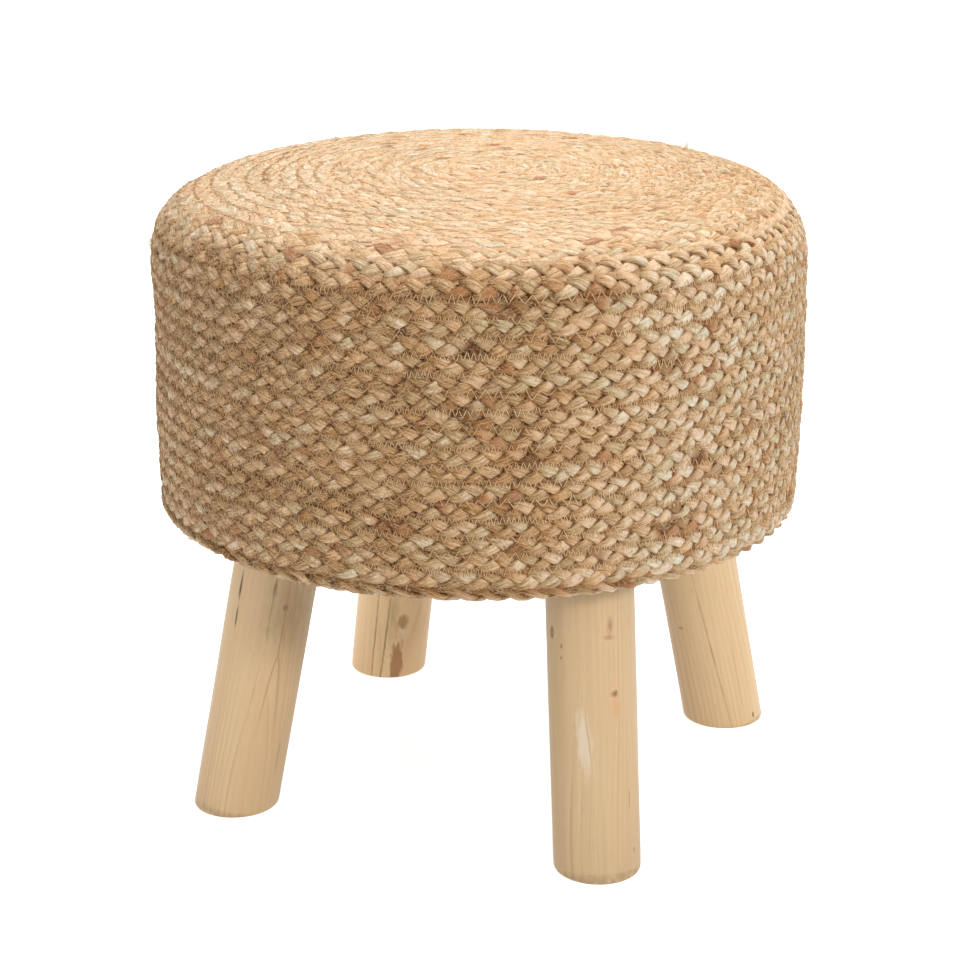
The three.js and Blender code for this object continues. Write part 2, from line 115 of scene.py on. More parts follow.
# %% Material helper
class Recipe:
    """A material while its nodes are being laid out."""

    def __init__(self, name):
        self.material = bpy.data.materials.new(name)
        self.material.use_nodes = True
        self.tree = self.material.node_tree
        self.shader = self.tree.nodes["Principled BSDF"]

    def feed(self, node, inputs):
        for socket, value in inputs.items():
            if isinstance(value, bpy.types.NodeSocket):
                self.tree.links.new(value, node.inputs[socket])
            else:
                node.inputs[socket].default_value = value

    def node(self, kind, inputs=None, **settings):
        node = self.tree.nodes.new("ShaderNode" + kind)
        for name, value in settings.items():
            setattr(node, name, value)
        self.feed(node, inputs or {})
        return node

    def math(self, operation, *values):
        return self.node("Math", dict(enumerate(values)), operation=operation).outputs[0]

    def vector(self, operation, *values):
        node = self.node("VectorMath", dict(enumerate(values)), operation=operation)
        return node.outputs["Value" if operation in ("LENGTH", "DOT_PRODUCT") else "Vector"]

    def noise(self, place, scale, detail=2.0, roughness=0.5):
        inputs = {"Vector": place, "Scale": scale, "Detail": detail, "Roughness": roughness}
        return self.node("TexNoise", inputs).outputs[0]

    def place(self):
        return self.node("TexCoord").outputs["Object"]

    def mapped(self, place, kind="POINT", location=(0, 0, 0), rotation=(0, 0, 0), scale=(1, 1, 1)):
        inputs = {"Vector": place, "Location": location, "Rotation": rotation, "Scale": scale}
        return self.node("Mapping", inputs, vector_type=kind).outputs[0]

    def ramp(self, value, *stops):
        node = self.node("ValToRGB", {"Fac": value})
        elements = node.color_ramp.elements
        while len(elements) < len(stops):
            elements.new(1.0)
        for element, (position, colour) in zip(elements, stops):
            element.position = position
            element.color = (*colour, 1) if isinstance(colour, tuple) else (colour, colour, colour, 1)
        return node.outputs["Color"]

    def span(self, value, low, high, to_low=0.0, to_high=1.0):
        inputs = {"Value": value, "From Min": low, "From Max": high, "To Min": to_low, "To Max": to_high}
        return self.node("MapRange", inputs).outputs[0]

    def mix(self, share, first, second, blend="MIX"):
        node = self.node("Mix", data_type="RGBA", blend_type=blend)
        colour_sockets = [socket for socket in node.inputs if socket.type == "RGBA"]
        for socket, value in zip(colour_sockets, (first, second)):
            if isinstance(value, bpy.types.NodeSocket):
                self.tree.links.new(value, socket)
            else:
                socket.default_value = (*value, 1)
        self.feed(node, {"Factor": share})
        return [socket for socket in node.outputs if socket.type == "RGBA"][0]

    def bump(self, height, distance, strength=1.0):
        inputs = {"Height": height, "Distance": distance, "Strength": strength}
        return self.node("Bump", inputs).outputs[0]

    def finish(self, colour, normal=None, **constants):
        self.feed(self.shader, {"Base Color": colour})
        if normal is not None:
            self.feed(self.shader, {"Normal": normal})
        self.feed(self.shader, {name.replace("_", " "): value for name, value in constants.items()})
        return self.material


def display(red, green, blue):
    """A colour as it is seen on a screen, from 0 to 255, in the light that the shader works in."""
    shares = [value / 255 for value in (red, green, blue)]
    return tuple(s / 12.92 if s <= 0.04045 else ((s + 0.055) / 1.055) ** 2.4 for s in shares)


# %% [markdown]
# ## Floor, backdrop and light
#
# The stool stands in a white studio. The backdrop looks white only to the camera and in reflections,
# while the light that reaches the stool comes from three soft boxes and a weak even glow. The
# strongest box hangs overhead, so the seat's top is brightest. A small one to the right leaves the
# left of the drum in a mild shade, and a big weak one in front lifts the side and the legs. The pale
# floor is lifted for the camera until the stool's own shadow is gone, as in the photograph.

# %% Studio sizes
GLOW = 0.5
FLOOR_SIDE = 12.0
FLOOR_PAINT = 0.82
FLOOR_SPECKLE = 0.01
FLOOR_LIFT = 0.79
SOFT_BOXES = [
    {"name": "overhead_box", "place": (0.0, 0.3, 1.75), "side": 0.6, "watts": 19.0},
    {"name": "right_box", "place": (1.7, -1.0, 1.15), "side": 0.35, "watts": 16.0},
    {"name": "front_box", "place": (-1.2, -2.0, 0.6), "side": 0.9, "watts": 8.5},
]


# %% Backdrop and soft boxes
def seen_directly(tree):
    """1 for rays that show a thing itself or its reflection, 0 for rays that only carry light."""
    rays = tree.nodes.new("ShaderNodeLightPath")
    seen = rays.outputs["Is Camera Ray"]
    for kind in ("Is Glossy Ray", "Is Transmission Ray"):
        joined = tree.nodes.new("ShaderNodeMath")
        joined.operation = "MAXIMUM"
        tree.links.new(seen, joined.inputs[0])
        tree.links.new(rays.outputs[kind], joined.inputs[1])
        seen = joined.outputs[0]
    return seen


def hang_backdrop():
    world = bpy.data.worlds.new("studio")
    world.use_nodes = True
    tree = world.node_tree
    background = tree.nodes["Background"]
    background.inputs["Color"].default_value = (1, 1, 1, 1)
    strength = tree.nodes.new("ShaderNodeMapRange")
    strength.inputs["To Min"].default_value = GLOW
    strength.inputs["To Max"].default_value = 1.0
    tree.links.new(seen_directly(tree), strength.inputs["Value"])
    tree.links.new(strength.outputs[0], background.inputs["Strength"])
    bpy.context.scene.world = world


def hang_soft_box(name, place, side, watts):
    light = bpy.data.lights.new(name, "AREA")
    light.shape = "SQUARE"
    light.size = side
    light.energy = watts
    box = bpy.data.objects.new(name, light)
    bpy.context.scene.collection.objects.link(box)
    box.location = place
    box.rotation_euler = (Vector(place) - CAMERA_TARGET).to_track_quat("Z", "Y").to_euler()


# %% Floor
def floor_material():
    recipe = Recipe("pale_floor")
    speckle = recipe.noise(recipe.place(), 40.0, 3.0)
    paint = recipe.ramp(speckle, (0.3, FLOOR_PAINT - FLOOR_SPECKLE), (0.7, FLOOR_PAINT + FLOOR_SPECKLE))
    lift = recipe.math("MULTIPLY", seen_directly(recipe.tree), FLOOR_LIFT)
    recipe.feed(recipe.shader, {"Emission Color": (1, 1, 1, 1), "Emission Strength": lift})
    return recipe.finish(paint, Roughness=0.9)


# %% Setting up the studio
hang_backdrop()
for soft_box in SOFT_BOXES:
    hang_soft_box(**soft_box)
bpy.ops.object.select_all(action="DESELECT")
bpy.ops.mesh.primitive_plane_add(size=FLOOR_SIDE)
floor = bpy.context.object
floor.name = "floor"
floor.data.materials.append(floor_material())
bpy.context.scene.view_settings.view_transform = "Standard"
print("studio:", len(SOFT_BOXES), "soft boxes and a floor of", FLOOR_SIDE, "m")

# %% [markdown]
# ## The drum's outline
#
# Everything on the seat follows one outline, from the middle of the top, over the rounded shoulder,
# down the slightly barrelled side and under the seat to the edge of the hem. It is built from three
# arcs, a shallow curve and a line. The braid lies half its thickness inside the outline of its
# crests, so the lines that it follows are the same outline, set in by that much.

# %% Outline sizes
seat_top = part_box("jute_cover_top")[1].z
seat_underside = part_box("jute_cover_side")[0].z
TOP_RADIUS = 201 * MM
FOOT_RADIUS = 197 * MM
SIDE_BULGE = 1.1 * MM
CROWN_RISE = 6 * MM
SHOULDER_RADIUS = 46.7 * MM
HEM_EDGE_RADIUS = 6 * MM
HEM_WIDTH = 28 * MM
BRAID_WIDTH = 10.3 * MM
BRAID_THICKNESS = 7.5 * MM
SEAM_ANGLE = math.radians(50)
OUTLINE_STEP = 0.25 * MM
LEAST_ARC_POINTS = 8
HEM_POINTS = 90


# %% Outline curve
def arc(centre, radius, start, end):
    points = max(LEAST_ARC_POINTS, int(abs(end - start) * radius / OUTLINE_STEP))
    angles = np.linspace(start, end, points)
    return np.stack([centre[0] + radius * np.cos(angles), centre[1] + radius * np.sin(angles)], -1)


def shallow_curve(start, control, end):
    share = np.linspace(0, 1, int((start[1] - end[1]) / OUTLINE_STEP))[:, None]
    start, control, end = map(np.array, (start, control, end))
    return (1 - share) ** 2 * start + 2 * share * (1 - share) * control + share**2 * end


def crest_outline():
    """[radius, height] points of the crests, and the length at which the seam lies."""
    shoulder_centre = (TOP_RADIUS - SHOULDER_RADIUS, seat_top - CROWN_RISE - SHOULDER_RADIUS)
    tilt = 2 * math.atan(CROWN_RISE / shoulder_centre[0])
    crown_radius = shoulder_centre[0] / math.sin(tilt) + SHOULDER_RADIUS
    upright = math.pi / 2
    side_end = seat_underside + HEM_EDGE_RADIUS
    crown = arc((0, seat_top - crown_radius), crown_radius, upright, upright - tilt)
    shoulder = arc(shoulder_centre, SHOULDER_RADIUS, upright - tilt, 0)
    middle = ((TOP_RADIUS + FOOT_RADIUS) / 2 + 2 * SIDE_BULGE, (shoulder_centre[1] + side_end) / 2)
    side = shallow_curve((TOP_RADIUS, shoulder_centre[1]), middle, (FOOT_RADIUS, side_end))
    edge = arc((FOOT_RADIUS - HEM_EDGE_RADIUS, side_end), HEM_EDGE_RADIUS, 0, -upright)
    hem_reach = np.linspace(FOOT_RADIUS - HEM_EDGE_RADIUS, FOOT_RADIUS - HEM_WIDTH, HEM_POINTS)
    hem = np.stack([hem_reach, np.full(HEM_POINTS, seat_underside)], -1)
    seam_share = (SEAM_ANGLE - tilt) / (upright - tilt)
    seam_index = len(crown) - 1 + int(seam_share * (len(shoulder) - 1))
    parts = [crown, shoulder[1:], side[1:], edge[1:], hem[1:]]
    return np.concatenate(parts), seam_index


# %% Measuring along the outline
class Outline:
    """An outline that can be asked for its place and its outward direction at any length."""

    def __init__(self, points, outward):
        self.points, self.outward = points, outward
        steps = np.linalg.norm(np.diff(points, axis=0), axis=1)
        self.lengths = np.concatenate([[0], np.cumsum(steps)])
        self.end = self.lengths[-1]

    def at(self, length):
        columns = np.concatenate([self.points, self.outward], 1).T
        values = [np.interp(length, self.lengths, column) for column in columns]
        place, outward = np.stack(values[:2], -1), np.stack(values[2:], -1)
        return place, outward / np.linalg.norm(outward, axis=-1, keepdims=True)

    def outward_in_space(self, length, angle):
        _, outward = self.at(length)
        radial, level = outward[..., 0], outward[..., 1]
        return np.stack([radial * np.cos(angle), radial * np.sin(angle), level], -1)

    def in_space(self, length, angle, height):
        """Points at a length along the outline and an angle round the drum, raised by a height."""
        place, outward = self.at(length)
        place = place + outward * (height - settled(length, angle))[..., None]
        radius, level = place[..., 0], place[..., 1]
        return np.stack([radius * np.cos(angle), radius * np.sin(angle), level], -1)


# %% [markdown]
# ## How the cover has settled
#
# A sewn cover never follows its form quite exactly: the padding gives way where the stool has been
# leant on or lifted, the cover creases along the seam on the shoulder and bulges a little over the
# hem. Each dent is a soft hollow at a place below the seam and at a bearing round the drum, and a
# negative depth is a bulge. A focus of nothing makes it run all the way round.

# %% How the cover has settled
PRESSED_ALL_OVER = 0.5 * MM
SEAM_CREASE = 1.1 * MM
CREASE_REACH = 2.6 * MM
DENTS = [
    {"depth": 1.6 * MM, "below_seam": 45 * MM, "reach": 50 * MM, "bearing": 0, "focus": 0},
    {"depth": 2.2 * MM, "below_seam": 75 * MM, "reach": 48 * MM, "bearing": -170, "focus": 2},
    {"depth": 4.5 * MM, "below_seam": -14 * MM, "reach": 12 * MM, "bearing": 166, "focus": 6},
    {"depth": -1.6 * MM, "below_seam": -4 * MM, "reach": 14 * MM, "bearing": 0, "focus": 0},
    {"depth": -2.6 * MM, "below_seam": 186 * MM, "reach": 9 * MM, "bearing": -80, "focus": 2},
]


def settled(length, angle):
    """How far the cover lies inside its outline, where the padding under it has given way."""
    below_seam = length - seam_length
    depth = PRESSED_ALL_OVER + SEAM_CREASE * np.exp(-((below_seam / CREASE_REACH) ** 2))
    for dent in DENTS:
        across = np.exp(-(((below_seam - dent["below_seam"]) / dent["reach"]) ** 2))
        facing = np.clip(np.cos(angle - math.radians(dent["bearing"])), 0, 1) ** dent["focus"]
        depth = depth + dent["depth"] * across * facing
    return depth


# %% The braid's line
crest_points, seam_index = crest_outline()
crest_directions = np.gradient(crest_points, axis=0)
crest_directions /= np.linalg.norm(crest_directions, axis=1, keepdims=True)
crest_outward = np.stack([-crest_directions[:, 1], crest_directions[:, 0]], -1)
braid_line = Outline(crest_points - crest_outward * BRAID_THICKNESS / 2, crest_outward)
seam_length = braid_line.lengths[seam_index]
hem_length = braid_line.end - HEM_WIDTH
print(f"outline: {braid_line.end:.3f} m, seam at {seam_length:.3f} m")

# %% [markdown]
# ## One long braid
#
# The braid starts in the middle of the top and winds outwards, a braid's width further with each
# turn, over the shoulder and down the side. It is one path, so its places are worked out once, a
# couple of millimetres apart. A hand-sewn row is never quite even, so the path wanders a little.

# %% Path of the braid
BRAID_STEP = 2.3 * MM
PATH_POINTS = 60000
ROW_WANDER = 0.35 * MM
WANDER_REACH = 70 * MM
ROW_LIFT = 0.25 * MM
LIFT_REACH = 50 * MM
random = np.random.default_rng(41)


def drift(steps, step, reach, columns=1):
    """A random value that drifts slowly along a path, with its turns about a reach apart."""
    knots = random.normal(size=(int(steps * step / reach) + 3, columns))
    place = np.arange(steps) * step / reach
    start = place.astype(int)
    share = (place - start)[:, None]
    share = share * share * (3 - 2 * share)
    values = knots[start] * (1 - share) + knots[start + 1] * share
    return values[:, 0] if columns == 1 else values


def braid_path():
    """Turns, lengths down the outline and lengths along the braid, at even steps along the braid."""
    turns = np.linspace(0, (braid_line.end - BRAID_WIDTH) / BRAID_WIDTH, PATH_POINTS)
    down = BRAID_WIDTH * (turns + 0.5)
    radius = braid_line.at(down)[0][:, 0]
    rounds = 2 * np.pi * (radius[1:] + radius[:-1]) / 2 * np.diff(turns)
    along = np.concatenate([[0], np.cumsum(rounds)])
    even = np.arange(0, along[-1], BRAID_STEP)
    return np.interp(even, along, turns), np.interp(even, along, down), even


turns, down, along = braid_path()
count = len(turns)
row_down = down + ROW_WANDER * drift(count, BRAID_STEP, WANDER_REACH)
row_lift = ROW_LIFT * drift(count, BRAID_STEP, LIFT_REACH)
row_angle = 2 * np.pi * turns
print(f"braid: {along[-1]:.2f} m in {turns[-1]:.1f} turns, {count} steps")

# %% [markdown]
# ## Plaiting the three strands
#
# In a three-strand plait each strand swings from one edge to the other and back, goes over its
# neighbour on the way in and under it on the way out. So its sideways place is a sine, and its
# height a sine of twice the pace. The three strands do the same a third of a period apart. Each is a
# soft bundle that spreads wide and flat where it crosses the middle and folds up narrow and thick at
# the edges, which is what makes the diamond-shaped lobes of a flat plait. The top has been sat on,
# so its plait is pressed flatter.

# %% Strand sizes
STRANDS = 3
PLAIT_PERIOD = 43 * MM
STRAND_SWING = 3.5 * MM
STRAND_DIVE = 1.75 * MM
EDGE_HALF_WIDTH = 2.6 * MM
LOBE_HALF_WIDTH = 3.7 * MM
EDGE_HALF_THICKNESS = 2.4 * MM
LOBE_HALF_THICKNESS = 1.8 * MM
ROW_CROWN = 0.5 * MM
RIDGE = 0.22 * MM
LOBE_FLATNESS = 0.55
CROSSING_FLATNESS = 0.7
SECTION_FLATNESS = 0.7
SECTION_ANGLES = np.radians([0, 28, 56, 90, 124, 152, 180, 225, 270, 315])
SECTION_SIDES = len(SECTION_ANGLES)

# %% Unevenness of the plait
PACE_CHANGE = 0.15
PACE_REACH = 20 * MM
SWING_CHANGE = 0.06
SWING_REACH = 11 * MM
SWELL_CHANGE = 0.12
SWELL_REACH = 12 * MM
RIDGE_REACH = 6 * MM
PRESSED_SHARE = 0.4
PRESSED_LENGTH = 22 * MM
TUCKED_PRESSING = 0.45
TUCKED_LENGTH = 12 * MM
BATCH_STARTS_ABOVE = 8 * MM
BATCH_ENDS_BELOW = 3 * MM


# %% Shape of one strand's path
def unit(vectors):
    return vectors / np.linalg.norm(vectors, axis=-1, keepdims=True)


def boxy(values, power):
    """A sine or cosine drawn out towards its ends, which flattens a wave or squares an oval."""
    return np.sign(values) * np.abs(values) ** power


def ease(values, low, high):
    """0 below the low value, 1 above the high one and a soft step between them."""
    share = np.clip((values - low) / (high - low), 0, 1)
    return share * share * (3 - 2 * share)


on_side = ease(down, seam_length - BATCH_STARTS_ABOVE, seam_length + BATCH_ENDS_BELOW)
tucked = ease(down, hem_length - TUCKED_LENGTH, hem_length)
plump = ease(down, seam_length - PRESSED_LENGTH, seam_length) - TUCKED_PRESSING * tucked
pace = 1 + PACE_CHANGE * np.tanh(drift(count, BRAID_STEP, PACE_REACH))
phase = 2 * np.pi * np.cumsum(pace) * BRAID_STEP / PLAIT_PERIOD
strand_phase = phase + np.arange(STRANDS)[:, None] * 2 * np.pi / STRANDS


def plait():
    """Where each strand's centre is across the row and out of it, and how wide and thick it is."""
    swing_drift = drift(count, BRAID_STEP, SWING_REACH, STRANDS).T
    across = STRAND_SWING * np.sin(strand_phase) * (1 + SWING_CHANGE * swing_drift)
    relief = PRESSED_SHARE + (1 - PRESSED_SHARE) * plump
    out = STRAND_DIVE * (1 - relief - relief * boxy(np.sin(2 * strand_phase), LOBE_FLATNESS))
    out = out - ROW_CROWN * relief * np.sin(strand_phase) ** 2
    crossing = np.abs(np.cos(strand_phase)) ** CROSSING_FLATNESS
    swell = 1 + SWELL_CHANGE * drift(count, BRAID_STEP, SWELL_REACH, STRANDS).T
    half_width = (EDGE_HALF_WIDTH + (LOBE_HALF_WIDTH - EDGE_HALF_WIDTH) * crossing) * swell
    half_thickness = EDGE_HALF_THICKNESS + (LOBE_HALF_THICKNESS - EDGE_HALF_THICKNESS) * crossing
    return across, out, half_width, half_thickness * (1.5 - 0.5 * swell)


strand_across, strand_out, strand_width, strand_thickness = plait()


# %% Strands in space
def strand_rings():
    """Rings of points round each strand: strands x steps x sides x 3."""
    length = row_down - strand_across
    centre = braid_line.in_space(length, row_angle, row_lift + strand_out)
    outward = braid_line.outward_in_space(row_down, row_angle)
    forward = unit(np.gradient(centre, axis=1))
    up = unit(outward - forward * np.sum(forward * outward, -1, keepdims=True))
    side = np.cross(up, forward)
    ridge_drift = [drift(count, BRAID_STEP, RIDGE_REACH, SECTION_SIDES) for _ in range(STRANDS)]
    ridges = RIDGE * np.stack(ridge_drift)
    wide = strand_width[..., None] * boxy(np.cos(SECTION_ANGLES), SECTION_FLATNESS)
    tall = (strand_thickness[..., None] + ridges) * boxy(np.sin(SECTION_ANGLES), SECTION_FLATNESS)
    return centre[:, :, None] + side[:, :, None] * wide[..., None] + up[:, :, None] * tall[..., None]


rings = strand_rings()
print("strands:", STRANDS, "of", rings.shape[1], "rings with", SECTION_SIDES, "points")

# %% [markdown]
# ## Colours in the jute
#
# Jute is sold as it was retted, so one bundle is silvery, the next tan or a little green, and here
# and there a few centimetres are rust-brown or nearly black. The strands carry those changes with
# them: each point of the mesh gets its lightness, rust, stain and greenness, which the finish then
# turns into colour. The lightness also carries painted light and shade, and the rust a redder tint
# of the painted shade in the creases. A lobe gets a painted highlight where it stands proud, partly
# rubbed pale, and painted shade where it comes out from under its neighbour and along its edges.
# The top was plaited from a lighter and warmer batch than the side. The side is darker on its left
# and lighter on its right, partly from its batch and partly from painted light and shade; its
# lowest row gets painted light, and the outer top on the right painted shade. A dozen stained
# stretches that catch the eye are set by their bearing round the drum and their place below the seam.

# %% Lightness of the batches, with painted light and shade
TOP_LIGHTNESS = 0.68
SIDE_LIGHTNESS = 0.462
RUBBED_BEARING = math.radians(-155)
RUBBED_GAIN = 0.06
BRIGHT_SIDE_FROM = math.radians(-56)
BRIGHT_SIDE_GAIN = 0.19
DUSKY_SIDE_SHARE = -0.38
HEM_PAINTED_LIGHT = 0.1
TOP_RIGHT_PAINTED_SHADE = 0.09
TOP_RIGHT_SHADE_STARTS = 60 * MM
TOP_RIGHT_SHADE_FULL = 150 * MM
MIDDLE_GREEN = 0.58
BRIGHT_SIDE_GREEN = 0.09


def batch_tones():
    """How light and how green the jute is at each step before its own changes: the batch's own tone, with
    painted light and shade round the side, at the hem and on the top's right.
    """
    lightness = TOP_LIGHTNESS + (SIDE_LIGHTNESS - TOP_LIGHTNESS) * on_side
    # Round the side, lighter on the right and darker on the left, and greener where lighter: partly the
    # batch's own tone, partly painted light and shade.
    brighter = np.clip(3 * np.sin(row_angle - BRIGHT_SIDE_FROM), DUSKY_SIDE_SHARE, 1)
    on_left = np.clip(np.cos(row_angle - RUBBED_BEARING), 0, 1) ** 2
    on_right = np.clip(-np.cos(row_angle - RUBBED_BEARING), 0, 1)
    side_gain = BRIGHT_SIDE_GAIN * brighter + RUBBED_GAIN * on_left
    # The lowest row, which little light reaches from below, gets painted light.
    lightness = lightness + on_side * side_gain + HEM_PAINTED_LIGHT * tucked
    # The outer part of the top, on its right, gets painted shade.
    top_right_shade = on_right * ease(down, TOP_RIGHT_SHADE_STARTS, TOP_RIGHT_SHADE_FULL)
    lightness = lightness - TOP_RIGHT_PAINTED_SHADE * (1 - on_side) * top_right_shade
    return lightness, MIDDLE_GREEN + BRIGHT_SIDE_GREEN * on_side * np.clip(brighter, 0, 1)


# %% Shade in the creases
EDGE_SHADE = 0.3
ROW_EDGE_SHADE = 0.22
CREASE_SHADE = 0.26
CREASE_SHADE_TINT = 0.33
CREASE_BOTTOM = 0.4 * MM
CREASE_TOP = 2.3 * MM
TOP_SHADE = 0.3
TUCKED_SHADE_LOSS = 0.6
CRISP_SWING = 0.8
CRISP_BEARING = math.radians(-40)


def crease_tones():
    """How much painted shade each point of the strands gets for lying low or at an edge, and how much
    redder that painted shade is.
    """
    sideways = strand_width[..., None] * np.cos(SECTION_ANGLES)
    off_middle = np.abs(strand_across[..., None] - sideways) / (BRAID_WIDTH / 2)
    shade = EDGE_SHADE * np.abs(np.cos(SECTION_ANGLES)) ** 8
    shade = shade + ROW_EDGE_SHADE * ease(off_middle, 0.8, 1.1)
    rise = strand_thickness[..., None] * boxy(np.sin(SECTION_ANGLES), SECTION_FLATNESS)
    crease = 1 - ease(strand_out[..., None] + rise, CREASE_BOTTOM, CREASE_TOP)
    # The top's painted shade is strongest at the front right and weakest at the back left.
    on_crisp = 1 + CRISP_SWING * np.cos(row_angle - CRISP_BEARING)
    share = TOP_SHADE * on_crisp * (1 - on_side) + on_side - TUCKED_SHADE_LOSS * tucked
    return (shade + CREASE_SHADE * crease) * share[:, None], CREASE_SHADE_TINT * crease * share[:, None]


# %% Stained stretches
PATCHES = [
    {"bearing": -69, "below_seam": 40 * MM, "reach": 11 * MM, "rust": 1.0, "stain": 0.9},
    {"bearing": -60, "below_seam": 103 * MM, "reach": 7 * MM, "rust": 0.8, "stain": 0.8},
    {"bearing": -30, "below_seam": 113 * MM, "reach": 7 * MM, "rust": 0.6, "stain": 0.8},
    {"bearing": -71, "below_seam": 75 * MM, "reach": 12 * MM, "rust": 0.9, "stain": 0.4},
    {"bearing": -52, "below_seam": -8 * MM, "reach": 10 * MM, "rust": 0.7, "stain": 0.2},
    {"bearing": -36, "below_seam": 55 * MM, "reach": 12 * MM, "rust": 0.8, "stain": 0.2},
    {"bearing": -63, "below_seam": 14 * MM, "reach": 16 * MM, "rust": 0.8, "stain": 0.0},
    {"bearing": -48, "below_seam": 12 * MM, "reach": 14 * MM, "rust": 0.8, "stain": 0.0},
    {"bearing": -97, "below_seam": 41 * MM, "reach": 16 * MM, "rust": 0.7, "stain": 0.0},
    {"bearing": -80, "below_seam": 61 * MM, "reach": 12 * MM, "rust": 0.7, "stain": 0.0},
    {"bearing": -82, "below_seam": 142 * MM, "reach": 14 * MM, "rust": 0.8, "stain": 0.1},
    {"bearing": -35, "below_seam": 151 * MM, "reach": 14 * MM, "rust": 0.7, "stain": 0.0},
]


def patch_strength(patch):
    """How strongly each strand step belongs to a patch of other colour."""
    apart = np.angle(np.exp(1j * (row_angle - math.radians(patch["bearing"])))) * TOP_RADIUS
    lower = row_down - strand_across - seam_length - patch["below_seam"]
    return np.exp(-((apart / patch["reach"]) ** 2) - (lower / (0.5 * BRAID_WIDTH)) ** 2)


# %% How much the tones change
RUST_FROM = 1.05
TOP_RUST_LATER = 0.1
RUST_RANGE = 1.4
STAIN_FROM = 2.3
STAIN_RANGE = 0.6
PATCH_RUST_RANGE = (0.25, 0.6)
PATCH_STAIN_RANGE = (0.45, 0.7)
GREEN_CHANGE = 0.34
SLOW_CHANGE = 0.035
STREAK_CHANGE = 0.05
TOP_QUICK_CHANGE = 0.04
SIDE_QUICK_GAIN = 0.09
TOP_FLECK_CHANGE = 0.8
SIDE_FLECK_LOSS = 0.6
TOP_RUB_AND_SHEEN_CHANGE = 0.03
SIDE_RUB_AND_SHEEN_GAIN = 0.12
RUB_AND_SHEEN_LAG = 0.5
SLOW_REACH = 250 * MM
GREEN_REACH = 20 * MM
RUST_REACH = 18 * MM
QUICK_REACH = 16 * MM
STAIN_REACH = 14 * MM
STREAK_REACH = 12 * MM


# %% Tones along the strands
def strand_tones():
    """Lightness, rust, stain and greenness for each point of the strands."""
    tones = np.ones((STRANDS, count, SECTION_SIDES, 4))
    batch, greener = batch_tones()
    shade, crease_shade_tint = crease_tones()
    rust_from = RUST_FROM + TOP_RUST_LATER * (1 - on_side)
    rub_and_sheen_change = TOP_RUB_AND_SHEEN_CHANGE + SIDE_RUB_AND_SHEEN_GAIN * on_side
    quick_change = TOP_QUICK_CHANGE + SIDE_QUICK_GAIN * on_side
    fleck_change = TOP_FLECK_CHANGE - SIDE_FLECK_LOSS * on_side
    patches = [patch_strength(patch) for patch in PATCHES]
    for strand in range(STRANDS):
        slow = drift(count, BRAID_STEP, SLOW_REACH)
        quick = np.tanh(drift(count, BRAID_STEP, QUICK_REACH))
        streaks = drift(count, BRAID_STEP, STREAK_REACH, SECTION_SIDES)
        # Each lobe gets a painted highlight towards one end and painted shade towards the other, partly
        # rubbed wear.
        rubbed = rub_and_sheen_change * np.cos(2 * strand_phase[strand] + RUB_AND_SHEEN_LAG)
        lightness = batch + SLOW_CHANGE * slow + quick_change * quick + rubbed
        rust = ease(drift(count, BRAID_STEP, RUST_REACH), rust_from, rust_from + RUST_RANGE)
        stain = ease(drift(count, BRAID_STEP, STAIN_REACH), STAIN_FROM, STAIN_FROM + STAIN_RANGE)
        for patch, strength in zip(PATCHES, patches):
            rust = rust + patch["rust"] * ease(strength[strand], *PATCH_RUST_RANGE)
            stain = stain + patch["stain"] * ease(strength[strand], *PATCH_STAIN_RANGE)
        flecks = 1 + fleck_change[:, None] * streaks
        green = greener + GREEN_CHANGE * drift(count, BRAID_STEP, GREEN_REACH)
        tones[strand, :, :, 0] = lightness[:, None] + STREAK_CHANGE * streaks - shade[strand]
        # The rust channel takes the real rust and the redder tint of the painted shade in the creases.
        tones[strand, :, :, 1] = rust[:, None] * flecks + crease_shade_tint[strand]
        tones[strand, :, :, 2] = stain[:, None]
        tones[strand, :, :, 3] = green[:, None]
    return np.clip(tones, 0, 1)


tones = strand_tones()
print(f"tones: {np.mean(tones[..., 1] > 0.3):.1%} rust, {np.mean(tones[..., 2] > 0.3):.2%} stained")

# %% [markdown]
# ## Jute finish
#
# A jute bundle is dry, but each fibre has a soft gloss, so a bundle shows fine bright and dark lines
# along its length. The streaks are noise stretched along the strand, in the strand's own UV map,
# where one direction is the length and the other goes round. They colour it and raise it a little.
# Hairs that have come loose curl over the strands, most of all on the drum's left, which was rubbed
# the most. The finest of them are only painted on, with a shadow each.


# %% Jute colours
FIBRE_STRAY = 0.45 * MM
FIBRE_RELIEF = 1.2 * MM
HAIR_SHADOW = (0.1 * MM, 0.1 * MM, 0.5 * MM)
WARM = (1.0, 0.8, 0.6, 1.0)
JUTE_GLOSS = {"Roughness": 0.6, "Specular_IOR_Level": 0.22, "Specular_Tint": WARM, "Sheen_Weight": 0.03}
LEFT_OF_DRUM = (-0.93, -0.37, 0.0)
STRAW = [
    (0.0, display(84, 47, 21)),
    (0.28, display(154, 110, 65)),
    (0.52, display(200, 161, 118)),
    (0.76, display(229, 198, 165)),
    (1.0, display(238, 219, 195)),
]
RUST = [
    (0.0, (1.0, 1.0, 1.0)),
    (0.5, (0.56, 0.33, 0.19)),
    (1.0, (0.40, 0.20, 0.10)),
]


